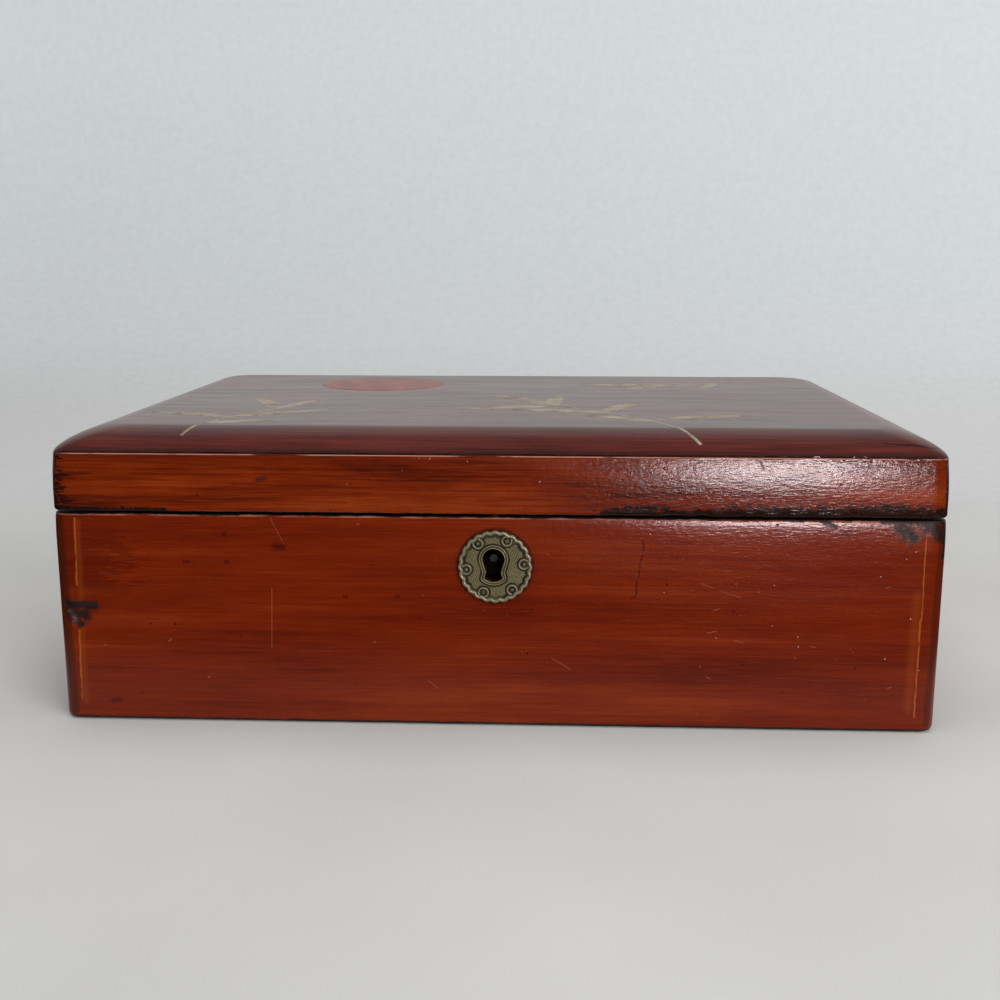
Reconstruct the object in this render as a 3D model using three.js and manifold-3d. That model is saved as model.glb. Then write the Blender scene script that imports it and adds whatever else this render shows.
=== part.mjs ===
// A lacquered wooden box with a hinged, crowned lid and a small keyed lock.
// Millimetres, +Z up. The origin is the centre of the box's footprint, on the surface it stands on.
// The keyhole faces -Y and the hinges are at +Y.
import * as THREE from "three";
import { mergeVertices } from "three/addons/utils/BufferGeometryUtils.js";
import Module from "manifold-3d";

const wasm = await Module();
wasm.setup();

// Driving dimensions of the wooden box
const boxWidth = 272;
const boxDepth = 190;
const bodyHeight = 66.7;
const wallThickness = 9;
const cornerLip = 5; // wood of the front and back boards that covers the ends of the side boards
const cornerRadius = 5;
const leastCornerRadius = 0.5; // in plan, inside the rounding of an edge
const bottomThickness = 6;
const bottomHousing = 4; // how far the bottom board reaches into each wall
const glueGap = 0.15;
const footRounding = 2;
const seamRounding = 0.8;

// Driving dimensions of the lid
const seamGap = 0.5;
const lidWallHeight = 17;
const lidEdgeHeight = 1; // upright edge of the top board, above the lid's walls
const crownRise = 7.1;
const crownInset = 15;
const crownCornerRadius = 9; // in plan, where the crown meets the flat top
const crownFullness = 1.5; // exponent of the crown's curve: 1 is a straight slope, 2 an ellipse

// Bamboo pegs that hold the bottom board
const pegRadius = 0.9;
const pegLength = 14;
const pegClearance = 0.1;
const pegRecess = 0.2;
const longSidePegs = 3;
const longSidePegEnd = 46; // from the box's end to the outermost peg
const shortSidePegs = 2;
const shortSidePegEnd = 55;

// Butt hinges
const openAngle = 100; // degrees, where the two back bevels meet and stop the lid
const stopSlack = 0.5; // degrees added to each bevel
const hingeEnd = 51; // from the box's end to the middle of a hinge
const hingeLength = 28;
const hingeInset = 3; // from the back face in to the pin's axis
const knuckleRadius = 1.8;
const pinRadius = 0.7;
const pinClearance = 0.15;
const centreKnuckleLength = 11;
const leafThickness = 0.9;
const knuckleClearance = 0.3;
const hingeScrewSpread = 17.4;
const hingeScrewSetback = 4; // from the pin's axis

// Countersunk screws
const screwHeadRadius = 1.5;
const screwHeadHeight = 1;
const screwHeadRim = 0.1;
const screwShankRadius = 0.8;
const screwTipLength = 1.4;
const screwSlotWidth = 0.45;
const screwSlotDepth = 0.4;
const screwSink = 0.05; // head below the plate it holds
const screwClearance = 0.12;
const screwTurn = 1.3; // radians from one screw's slot to the next, so that no two line up
const hingeScrewLength = 6.5;
const lockScrewLength = 5;
const strikeScrewLength = 6;

// Keyhole and its plate
const lockOffset = 0.7; // the lock sits a little to the right of the box's middle
const keyholeDrop = 13; // from the rim down to the middle of the keyhole's round part
const keyholeRadius = 3.3;
const keyholeTangent = 22; // degrees below the horizontal, where the round part ends
const keyholeNeck = 2.2; // half width
const keyholeNeckDrop = 4;
const keyholeFoot = 2.8; // half width
const keyholeFootDrop = 5.9;
const keyholeBottomDrop = 7;
const woodKeyholeMargin = 0.15;
const plateRadius = 11.3;
const plateLobes = 24;
const plateLobeDepth = 0.45;
const plateThickness = 0.7;
const plateRelief = 0.45;
const plateBand = 1.1; // width of the raised band round the edge
const plateSeat = 0.1;
const keyholeAcross = -0.5; // from the plate's middle to the keyhole's round part
const keyholeAbove = 2.3;
const keyholeRimWidth = 1.3;
const curlCount = 6;
const curlStart = 24; // degrees clockwise from the top
const curlCircle = 8.8;
const curlOuter = 1.8;
const curlInner = 1.05;
const curlSweep = 290; // degrees
const curlBossRadius = 0.45;
const platePinHeadRadius = 0.7;
const platePinHeadHeight = 0.3;
const platePinRadius = 0.35;
const platePinLength = 2;
const pinnedCurls = [0, 3];

// Lock
const lockSheet = 1; // thickness of the lock plate
const lockFlangeWidth = 7; // of the part that lies on the rim
const lockCavity = 4.4; // depth of the room for the bolt
const caseSheet = 0.5;
const caseMargin = 0.6; // beyond the bolt's travel
const caseFoot = 1.5; // below the keyhole
const lockFlangeSide = 5; // plate left and right of the case
const lockFlangeFoot = 4.5; // plate below the case
const lockScrewInset = 2.4;
const boltThickness = 1.6;
const boltThrow = 4;
const boltLift = 2.8; // from the key's axis up to the bolt
const springRoom = 1.5; // between the bolt and the rim plate
const noseDrop = 1; // from the bolt's top to its nose
const noseHeight = 2.4;
const slotMetal = 0.9; // metal between a slot and an edge
const guidePinRadius = 0.8;
const guideClearance = 0.2;
const talonWidth = 4.4;
const talonDepth = 1.4;
const keyPinRadius = 1.2;
const keyPinSetback = 1; // behind the front face of the box
const rivetClearance = 0.1;
const springThickness = 0.35;
const springTouch = 0.12;

// Strike plate in the lid, with the staple that the bolt passes through
const strikeLength = 34;
const stapleThickness = 1.4;
const stapleWidth = 3.4;
const stapleBridge = 0.8;
const stapleSideRoom = 0.7;
const stapleRoom = 0.4;
const boltSideRoom = 0.3;
const stapleSlotRoom = 0.4;
const strikeScrewSpread = 25;

// Facets
const cornerSteps = 6;
const edgeSteps = 3;
const crownSteps = 8;
const roundSteps = 16;
const smallRoundSteps = 10;
const curlSteps = 7;
const lobeSteps = 4;
const bandSteps = 48;

// Materials
function finish(color, roughness, metalness) {
  return new THREE.MeshStandardMaterial({ color, roughness, metalness });
}

const redLacquer = finish("#74220c", 0.22, 0);
const lidLacquer = finish("#5a231c", 0.2, 0);
const bamboo = finish("#a8844f", 0.6, 0);
const agedBrass = finish("#8a7c52", 0.45, 0.9);
const lockBrass = finish("#a58a4a", 0.4, 0.9);
const springSteel = finish("#6d7074", 0.35, 1);
const screwBrass = finish("#95803f", 0.4, 0.9);

const degrees = Math.PI / 180;
const past = 1; // how far a cutter runs past the face it opens
const weld = 0.05; // how far two shapes that are joined reach into each other

// Places that several pieces share
const front = -boxDepth / 2;
const back = boxDepth / 2;
const side = boxWidth / 2;
const lidBase = bodyHeight + seamGap;
const lidWallTop = lidBase + lidWallHeight;
const hingeAxisY = back - hingeInset;
const hingeAxisZ = bodyHeight + seamGap / 2;
const keyX = lockOffset + keyholeAcross;
const keyZ = bodyHeight - keyholeDrop;

// A closed solid for cutting and joining, from any closed geometry
function toSolid(geometry) {
  const bare = geometry.clone();
  bare.deleteAttribute("normal");
  bare.deleteAttribute("uv");
  const merged = mergeVertices(bare, 1e-4);
  const vertProperties = new Float32Array(merged.attributes.position.array);
  const triVerts = new Uint32Array(merged.index.array);
  return new wasm.Manifold(new wasm.Mesh({ numProp: 3, vertProperties, triVerts }));
}

function toGeometry(solid) {
  const { vertProperties, triVerts } = solid.getMesh();
  const shared = new THREE.BufferGeometry();
  shared.setAttribute("position", new THREE.BufferAttribute(new Float32Array(vertProperties), 3));
  shared.setIndex(new THREE.BufferAttribute(new Uint32Array(triVerts), 1));
  const geometry = shared.toNonIndexed();
  geometry.computeVertexNormals();
  return geometry;
}

const cut = (solid, ...cutters) => cutters.reduce((rest, cutter) => rest.subtract(cutter), solid);
const join = (solid, ...others) => others.reduce((sum, other) => sum.add(other), solid);

function piece(name, solid, material) {
  const mesh = new THREE.Mesh(toGeometry(solid), material);
  mesh.name = name;
  return mesh;
}

function block([x0, x1], [y0, y1], [z0, z1]) {
  const geometry = new THREE.BoxGeometry(x1 - x0, y1 - y0, z1 - z0);
  return toSolid(geometry.translate((x0 + x1) / 2, (y0 + y1) / 2, (z0 + z1) / 2));
}

// A round bar between two points on one line along X, Y or Z
function bar(radius, from, to, steps = roundSteps) {
  const start = new THREE.Vector3(...from);
  const run = new THREE.Vector3(...to).sub(start);
  const geometry = new THREE.CylinderGeometry(radius, radius, run.length(), steps);
  const up = new THREE.Vector3(0, 1, 0);
  const turn = new THREE.Quaternion().setFromUnitVectors(up, run.clone().normalize());
  geometry.applyQuaternion(turn);
  return toSolid(geometry.translate(...start.addScaledVector(run, 0.5).toArray()));
}

const pinAlongY = (radius, [x, z], [y0, y1]) => bar(radius, [x, y0, z], [x, y1, z], smallRoundSteps);

// An outline drawn in X and Z, run along Y
function runAlongY(shape, [y0, y1], curveSegments = roundSteps) {
  const geometry = new THREE.ExtrudeGeometry(shape, { depth: y1 - y0, bevelEnabled: false, curveSegments });
  return toSolid(geometry.rotateX(Math.PI / 2).translate(0, y1, 0));
}

// An outline given as points in Y and Z, run along X
function runAlongX(points, [x0, x1]) {
  const shape = new THREE.Shape(points.map(([y, z]) => new THREE.Vector2(y, z)));
  const geometry = new THREE.ExtrudeGeometry(shape, { depth: x1 - x0, bevelEnabled: false });
  const yzToWorld = new THREE.Matrix4().makeBasis(
    new THREE.Vector3(0, 1, 0),
    new THREE.Vector3(0, 0, 1),
    new THREE.Vector3(1, 0, 0),
  );
  return toSolid(geometry.applyMatrix4(yzToWorld).translate(x0, 0, 0));
}

// The outline of the box in plan at one height, drawn in by an inset
function planRing(inset, radius, z) {
  const corners = [
    [1, -1, -90],
    [1, 1, 0],
    [-1, 1, 90],
    [-1, -1, 180],
  ];
  const across = side - inset - radius;
  const along = back - inset - radius;
  return corners.flatMap(([sx, sy, start]) =>
    Array.from({ length: cornerSteps + 1 }, (_, i) => {
      const angle = (start + (90 * i) / cornerSteps) * degrees;
      return [sx * across + radius * Math.cos(angle), sy * along + radius * Math.sin(angle), z];
    }),
  );
}

// A solid skinned over rings that hold the same number of points, from the lowest up
function skin(rings) {
  const count = rings[0].length;
  const last = (rings.length - 1) * count;
  const index = [];
  for (let r = 0; r + 1 < rings.length; r++) {
    for (let i = 0; i < count; i++) {
      const a = r * count + i;
      const b = r * count + ((i + 1) % count);
      index.push(a, b, b + count, a, b + count, a + count);
    }
  }
  for (let i = 1; i + 1 < count; i++) {
    index.push(0, i + 1, i, last, last + i, last + i + 1);
  }
  const geometry = new THREE.BufferGeometry();
  geometry.setAttribute("position", new THREE.Float32BufferAttribute(rings.flat(2), 3));
  geometry.setIndex(index);
  return toSolid(geometry);
}

// The outer form of the walls between two heights, with rounded lower and upper edges
function wallForm(low, high, lowRounding, highRounding) {
  const rounded = (rounding, angle) => rounding * (1 - Math.sin(angle));
  const ringAt = (inset, z) => planRing(inset, Math.max(cornerRadius - inset, leastCornerRadius), z);
  const quarter = Array.from({ length: edgeSteps + 1 }, (_, i) => (i / edgeSteps) * (Math.PI / 2));
  const edge = (rounding, z, away) =>
    rounding > 0
      ? quarter.map((angle) => ringAt(rounded(rounding, angle), z + away * rounding * (1 - Math.cos(angle))))
      : [ringAt(0, z)];
  return skin([...edge(lowRounding, low, 1), ...edge(highRounding, high, -1).toReversed()]);
}

// Rebates in the ends of a front or back board, which the side boards are housed in
function endHousings(facing, [z0, z1]) {
  const inner = back - cornerLip;
  const ySpan = facing < 0 ? [-inner, 0] : [0, inner];
  return [-1, 1].map((sx) => {
    const near = side - wallThickness - glueGap;
    const xSpan = sx < 0 ? [-side - past, -near] : [near, side + past];
    return block(xSpan, ySpan, [z0 - past, z1 + past]);
  });
}

// The room that the bottom board takes out of the walls
function bottomRoom(gap) {
  const x = side - wallThickness + bottomHousing + gap;
  const y = back - wallThickness + bottomHousing + gap;
  return block([-x, x], [-y, y], [-past, bottomThickness + gap]);
}

// The bevels at the back, seen from the hinge axis: one on the body, one on the lid
function backBevel(upDown) {
  const reach = hingeInset + past;
  const rise = reach * Math.tan((openAngle / 2 + stopSlack) * degrees);
  const wedge = [
    [hingeAxisY, hingeAxisZ],
    [hingeAxisY + reach, hingeAxisZ],
    [hingeAxisY + reach, hingeAxisZ + upDown * rise],
  ];
  return runAlongX(upDown > 0 ? wedge : wedge.toReversed(), [-side - past, side + past]);
}

// Screws are drawn with the head's face at the origin and the point at -Z
function screwProfile(length, grow = 0, top = 0) {
  const outline = [
    [0, -length - grow],
    [screwShankRadius + grow, screwTipLength - length],
    [screwShankRadius + grow, -screwHeadHeight],
    [screwHeadRadius + grow, -screwHeadRim],
    [screwHeadRadius + grow, top],
    [0, top],
  ];
  const points = outline.map(([r, z]) => new THREE.Vector2(r, z));
  return new THREE.LatheGeometry(points, smallRoundSteps).rotateX(Math.PI / 2);
}

function screwSolid(length) {
  const slot = block(
    [-screwHeadRadius - past, screwHeadRadius + past],
    [-screwSlotWidth / 2, screwSlotWidth / 2],
    [-screwSlotDepth, past],
  );
  return cut(toSolid(screwProfile(length)), slot);
}

// Where a screw sits: its head's face, and the way it is driven
const driven = {
  down: new THREE.Euler(0, 0, 0),
  up: new THREE.Euler(Math.PI, 0, 0),
  forward: new THREE.Euler(-Math.PI / 2, 0, 0),
};

function screwHole({ at, way, length }) {
  const place = new THREE.Matrix4().makeRotationFromEuler(driven[way]).setPosition(...at);
  return toSolid(screwProfile(length, screwClearance, past).applyMatrix4(place));
}

function screwPiece(name, { at, way, length, turn }) {
  const mesh = piece(name, screwSolid(length), screwBrass);
  const holder = new THREE.Group();
  mesh.rotation.z = turn;
  mesh.position.z = -screwSink;
  holder.rotation.copy(driven[way]);
  holder.position.set(...at);
  holder.add(mesh);
  return holder;
}

// Hinges
const hinges = [
  { name: "left_hinge", x: hingeEnd - side },
  { name: "right_hinge", x: side - hingeEnd },
];
const hingeSpan = (x, gap = 0) => [x - hingeLength / 2 - gap, x + hingeLength / 2 + gap];
const centreSpan = (x, gap) => [x - centreKnuckleLength / 2 - gap, x + centreKnuckleLength / 2 + gap];

function barAtHinge(radius, [x0, x1]) {
  return bar(radius, [x0, hingeAxisY, hingeAxisZ], [x1, hingeAxisY, hingeAxisZ]);
}

function hingeScrews({ name, x }) {
  const y = hingeAxisY - hingeScrewSetback;
  return [-1, 1].flatMap((sx) => {
    const seat = { x: x + (sx * hingeScrewSpread) / 2, word: sx < 0 ? "left" : "right" };
    return [
      { name: `${name}_body_screw_${seat.word}`, at: [seat.x, y, bodyHeight], way: "down", on: "body" },
      { name: `${name}_lid_screw_${seat.word}`, at: [seat.x, y, lidBase], way: "up", on: "lid" },
    ];
  });
}

const allHingeScrews = hinges
  .flatMap(hingeScrews)
  .map((screw, i) => ({ ...screw, length: hingeScrewLength, turn: screwTurn * i }));

// Room for a hinge in the board that it is let into
function hingeMortises(on) {
  const zSpan =
    on === "body"
      ? [bodyHeight - leafThickness - glueGap, lidBase + past]
      : [bodyHeight - past, lidBase + leafThickness + glueGap];
  return hinges.flatMap(({ x }) => [
    block(hingeSpan(x, glueGap), [back - wallThickness - past, hingeAxisY], zSpan),
    barAtHinge(knuckleRadius + knuckleClearance, hingeSpan(x, glueGap)),
  ]);
}

function hingeLeaf({ x }, on) {
  const [x0, x1] = hingeSpan(x);
  const [c0, c1] = centreSpan(x, 0);
  const [g0, g1] = centreSpan(x, knuckleClearance);
  const leafBottom = on === "body" ? bodyHeight - leafThickness : lidBase;
  const zSpan = [leafBottom, leafBottom + leafThickness];
  const plate = block([x0, x1], [back - wallThickness, hingeAxisY], zSpan);
  const own = on === "body" ? [[x0, g0], [g1, x1]] : [[c0, c1]];
  const others = on === "body" ? [[g0, g1]] : [[x0 - past, c0], [c1, x1 + past]];
  const knuckles = own.map((span) => barAtHinge(knuckleRadius, span));
  const clearances = others.map((span) => barAtHinge(knuckleRadius + knuckleClearance, span));
  const bore = barAtHinge(pinRadius + pinClearance, [x0 - past, x1 + past]);
  const holes = allHingeScrews.filter((screw) => screw.on === on).map(screwHole);
  return cut(join(cut(plate, ...clearances), ...knuckles), bore, ...holes);
}

// Keyhole outline round its own middle, in X and Z, grown by a margin
function keyholeShape(grow, x = keyX, z = keyZ) {
  const radius = keyholeRadius + grow;
  const neck = keyholeNeck + grow;
  const foot = keyholeFoot + grow;
  const bottom = keyholeBottomDrop + grow;
  const footZ = keyholeFootDrop + grow / 2;
  const tangent = keyholeTangent * degrees;
  const shape = new THREE.Shape();
  shape.moveTo(x - neck, z - keyholeNeckDrop);
  shape.lineTo(x - foot, z - footZ);
  shape.quadraticCurveTo(x, z - 2 * bottom + footZ, x + foot, z - footZ);
  shape.lineTo(x + neck, z - keyholeNeckDrop);
  shape.lineTo(x + radius * Math.cos(tangent), z - radius * Math.sin(tangent));
  shape.absarc(x, z, radius, -tangent, Math.PI + tangent, false);
  return shape;
}

const keyholeCutter = (grow, ySpan) => runAlongY(keyholeShape(grow), ySpan);

// The round plate over the keyhole
const plateX = keyX - keyholeAcross;
const plateZ = keyZ - keyholeAbove;
const plateBackY = front - plateSeat;
const plateFaceY = plateBackY - plateThickness;
const plateReliefY = plateFaceY - plateRelief;

function lobedShape(radius) {
  const count = plateLobes * lobeSteps;
  const points = Array.from({ length: count }, (_, i) => {
    const angle = (i / count) * 2 * Math.PI;
    const reach = radius - plateLobeDepth * (1 - Math.abs(Math.cos((plateLobes * angle) / 2)));
    return new THREE.Vector2(plateX + reach * Math.cos(angle), plateZ + reach * Math.sin(angle));
  });
  return new THREE.Shape(points);
}

const curlPlaces = Array.from({ length: curlCount }, (_, i) => {
  const angle = (90 - curlStart - (360 / curlCount) * i) * degrees;
  return { angle, x: plateX + curlCircle * Math.cos(angle), z: plateZ + curlCircle * Math.sin(angle) };
});

function curlShape({ angle, x, z }) {
  const start = angle + Math.PI - (curlSweep / 2) * degrees;
  const end = start + curlSweep * degrees;
  const shape = new THREE.Shape();
  shape.absarc(x, z, curlOuter, start, end, false);
  shape.absarc(x, z, curlInner, end, start, true);
  return shape;
}

const platePinSeats = pinnedCurls.map((i) => curlPlaces[i]);

function keyholePlate() {
  const solid = runAlongY(lobedShape(plateRadius), [plateReliefY, plateBackY]);
  const reliefSpan = [plateReliefY, plateFaceY + weld];
  const sunk = bar(
    plateRadius - plateLobeDepth - plateBand,
    [plateX, plateReliefY - past, plateZ],
    [plateX, plateFaceY, plateZ],
    bandSteps,
  );
  const rim = runAlongY(keyholeShape(keyholeRimWidth), reliefSpan);
  const curls = curlPlaces.map((place) => runAlongY(curlShape(place), reliefSpan, curlSteps));
  const bosses = curlPlaces
    .filter((place) => !platePinSeats.includes(place))
    .map(({ x, z }) => pinAlongY(curlBossRadius, [x, z], [plateReliefY, plateFaceY + weld]));
  const pinHoles = platePinSeats.map((seat) => platePinHole(seat, [plateReliefY - past, plateBackY + past]));
  const keyhole = keyholeCutter(0, [plateReliefY - past, plateBackY + past]);
  return cut(join(cut(solid, sunk), rim, ...curls, ...bosses), keyhole, ...pinHoles);
}

// A pin through a curl, with its head against the plate
const platePinEnd = plateFaceY + platePinLength;

function platePin({ x, z }) {
  const headY = plateFaceY - rivetClearance;
  const outline = [
    [0, headY - platePinHeadHeight],
    [platePinHeadRadius / 2, headY - platePinHeadHeight],
    [platePinHeadRadius, headY - platePinHeadHeight / 2],
    [platePinHeadRadius, headY],
    [platePinRadius, headY],
    [platePinRadius, platePinEnd - platePinRadius],
    [0, platePinEnd],
  ];
  const points = outline.map(([r, y]) => new THREE.Vector2(r, y));
  return toSolid(new THREE.LatheGeometry(points, smallRoundSteps).translate(x, 0, z));
}

function platePinHole({ x, z }, [y0, y1]) {
  return bar(platePinRadius + rivetClearance, [x, y0, z], [x, y1, z], smallRoundSteps);
}

// Lock, measured from the inside of the front board towards the keyhole
const innerFaceY = front + wallThickness;
const lockPlateY = innerFaceY - lockSheet;
const lockMidY = lockPlateY - lockCavity / 2;
const caseInnerY = lockPlateY - lockCavity;
const caseOuterY = caseInnerY - caseSheet;
const flangeZ = bodyHeight - lockSheet;

// Bolt outline from the staple outwards, at rest, with the lid unlocked
const boltTop = flangeZ - springRoom;
const boltBottom = keyZ + boltLift;
const noseTop = boltTop - noseDrop;
const noseBottom = noseTop - noseHeight;
const stapleHole = [noseBottom - stapleRoom, noseTop + stapleRoom];
const stapleEnd = stapleHole[0] - stapleBridge;
const notchFloor = stapleEnd - stapleRoom;
const notchLeft = -stapleThickness / 2 - stapleSideRoom;
const noseTip = stapleThickness / 2 + stapleSideRoom;
const notchRight = noseTip + boltThrow + boltSideRoom;
const slotHalf = guidePinRadius + guideClearance;
const leftGuideX = notchLeft - slotMetal - slotHalf - boltThrow;
const rightGuideX = notchRight + slotMetal + slotHalf;
const boltLeft = leftGuideX - slotHalf - slotMetal;
const boltRight = rightGuideX + boltThrow + slotHalf + slotMetal;
const guideZ = (boltTop + boltBottom) / 2;

const caseHalf = Math.max(boltThrow - boltLeft, boltRight) + caseMargin + caseSheet;
const caseBottom = keyZ - keyholeBottomDrop - caseFoot;
const lockHalf = caseHalf + lockFlangeSide;
const lockBottom = caseBottom - lockFlangeFoot;
const atLock = ([x0, x1]) => [lockOffset + x0, lockOffset + x1];

const lockScrews = [-1, 1].flatMap((sx) =>
  ["upper", "lower"].map((word, i) => ({
    name: `lock_screw_${sx < 0 ? "left" : "right"}_${word}`,
    at: [
      lockOffset + sx * (lockHalf - lockScrewInset),
      innerFaceY,
      i === 0 ? boltTop - lockScrewInset : lockBottom + lockScrewInset,
    ],
    way: "forward",
    length: lockScrewLength,
    turn: screwTurn * (sx + i),
  })),
);

const guidePlaces = [
  { name: "lock_guide_pin_left", x: lockOffset + leftGuideX },
  { name: "lock_guide_pin_right", x: lockOffset + rightGuideX },
];

const guidePin = ({ x }) => pinAlongY(guidePinRadius, [x, guideZ], [caseOuterY, innerFaceY]);
const guidePinHole = ({ x }, ySpan) => pinAlongY(guidePinRadius + rivetClearance, [x, guideZ], ySpan);
const keyPin = () => pinAlongY(keyPinRadius, [keyX, keyZ], [front + keyPinSetback, innerFaceY]);
const keyPinHole = (ySpan) => pinAlongY(keyPinRadius + rivetClearance, [keyX, keyZ], ySpan);

function lockPlate() {
  const width = atLock([-lockHalf, lockHalf]);
  const sheet = block(width, [lockPlateY, innerFaceY], [lockBottom, bodyHeight]);
  const flange = block(width, [innerFaceY - lockFlangeWidth, innerFaceY], [flangeZ, bodyHeight]);
  const slotX = stapleThickness / 2 + stapleSlotRoom;
  const slotY = stapleWidth / 2 + stapleSlotRoom;
  const slotSpan = [lockMidY - slotY, lockMidY + slotY];
  const slot = block(atLock([-slotX, slotX]), slotSpan, [flangeZ - past, bodyHeight + past]);
  const through = [lockPlateY - past, innerFaceY + past];
  const rivetHoles = guidePlaces.map((place) => guidePinHole(place, through));
  return cut(join(sheet, flange), slot, keyPinHole(through), ...rivetHoles, ...lockScrews.map(screwHole));
}

function lockCase() {
  const top = flangeZ - glueGap;
  const inner = caseHalf - caseSheet;
  const floor = caseBottom + caseSheet;
  const shell = block(atLock([-caseHalf, caseHalf]), [caseOuterY, lockPlateY - glueGap], [caseBottom, top]);
  const room = block(atLock([-inner, inner]), [caseInnerY, lockPlateY + past], [floor, top + past]);
  const through = [caseOuterY - past, caseInnerY + past];
  const rivetHoles = guidePlaces.map((place) => guidePinHole(place, through));
  return cut(shell, room, keyholeCutter(rivetClearance, through), ...rivetHoles);
}

function lockBolt() {
  const ySpan = [lockMidY - boltThickness / 2, lockMidY + boltThickness / 2];
  const through = [ySpan[0] - past, ySpan[1] + past];
  const plate = block(atLock([boltLeft, boltRight]), ySpan, [boltBottom, boltTop]);
  const notch = block(atLock([notchLeft, notchRight]), through, [notchFloor, boltTop + past]);
  const nose = block(atLock([noseTip, notchRight + past]), ySpan, [noseBottom, noseTop]);
  const talonX = keyX - lockOffset;
  const talonSpan = atLock([talonX - talonWidth / 2, talonX + talonWidth / 2]);
  const talon = block(talonSpan, through, [boltBottom - past, boltBottom + talonDepth]);
  const slots = [leftGuideX, rightGuideX].map((x) =>
    block(atLock([x - slotHalf, x + boltThrow + slotHalf]), through, [guideZ - slotHalf, guideZ + slotHalf]),
  );
  return cut(join(cut(plate, notch), nose), talon, ...slots);
}

// A bow of spring strip between the rim plate and the bolt's top
function boltSpring() {
  const reach = (notchLeft - boltLeft) / 2;
  const middle = lockOffset + boltLeft + reach;
  const sag = springRoom - springThickness - 2 * springTouch;
  const radius = (reach * reach + sag * sag) / (2 * sag);
  const top = flangeZ - springTouch;
  const centreZ = top - sag + radius;
  const half = Math.asin(reach / radius);
  const shape = new THREE.Shape();
  shape.absarc(middle, centreZ, radius, 1.5 * Math.PI - half, 1.5 * Math.PI + half, false);
  shape.absarc(middle, centreZ, radius + springThickness, 1.5 * Math.PI + half, 1.5 * Math.PI - half, true);
  return runAlongY(shape, [lockMidY - boltThickness / 2, lockMidY + boltThickness / 2], smallRoundSteps);
}

// Strike plate and its screws, in the lid
const strikeScrews = [-1, 1].map((sx) => ({
  name: `strike_screw_${sx < 0 ? "left" : "right"}`,
  at: [lockOffset + (sx * strikeScrewSpread) / 2, innerFaceY - lockFlangeWidth / 2, lidBase],
  way: "up",
  length: strikeScrewLength,
  turn: screwTurn * sx,
}));

function strikePlate() {
  const ySpan = [innerFaceY - lockFlangeWidth, innerFaceY];
  const plate = block(atLock([-strikeLength / 2, strikeLength / 2]), ySpan, [lidBase, lidBase + lockSheet]);
  const half = stapleThickness / 2;
  const staple = block(
    atLock([-half, half]),
    [lockMidY - stapleWidth / 2, lockMidY + stapleWidth / 2],
    [stapleEnd, lidBase + lockSheet / 2],
  );
  const holeY = boltThickness / 2 + boltSideRoom;
  const hole = block(atLock([-half - past, half + past]), [lockMidY - holeY, lockMidY + holeY], stapleHole);
  return cut(join(plate, staple), hole, ...strikeScrews.map(screwHole));
}

// What the lock and its strike take out of the wood
function lockMortises() {
  const room = (half, frontY, bottom) =>
    block(
      atLock([-half - glueGap, half + glueGap]),
      [frontY - glueGap, innerFaceY + past],
      [bottom - glueGap, bodyHeight + past],
    );
  return [
    room(caseHalf, caseOuterY, caseBottom),
    room(lockHalf, lockPlateY, lockBottom),
    room(lockHalf, innerFaceY - lockFlangeWidth, flangeZ),
  ];
}

function strikeMortise() {
  const half = strikeLength / 2 + glueGap;
  const ySpan = [innerFaceY - lockFlangeWidth - glueGap, innerFaceY + past];
  return block(atLock([-half, half]), ySpan, [lidBase - past, lidBase + lockSheet + glueGap]);
}

// Pegs stand in the joint between the bottom board and the wood above it
const pegLine = wallThickness - bottomHousing / 2;
const spread = (count, reach) =>
  Array.from({ length: count }, (_, i) => ((2 * i) / (count - 1) - 1) * reach);
const longSide = spread(longSidePegs, side - longSidePegEnd);
const shortSide = spread(shortSidePegs, back - shortSidePegEnd);
const pegs = [
  ...longSide.map((x, i) => ({ name: `bottom_peg_front_${i + 1}`, x, y: front + pegLine })),
  ...longSide.map((x, i) => ({ name: `bottom_peg_back_${i + 1}`, x, y: back - pegLine })),
  ...shortSide.map((y, i) => ({ name: `bottom_peg_left_${i + 1}`, x: pegLine - side, y })),
  ...shortSide.map((y, i) => ({ name: `bottom_peg_right_${i + 1}`, x: side - pegLine, y })),
];
const pegBar = (grow, { x, y }, [z0, z1]) => bar(pegRadius + grow, [x, y, z0], [x, y, z1], smallRoundSteps);
const pegHole = (place) => pegBar(pegClearance, place, [-past, pegLength + pegClearance]);

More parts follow.
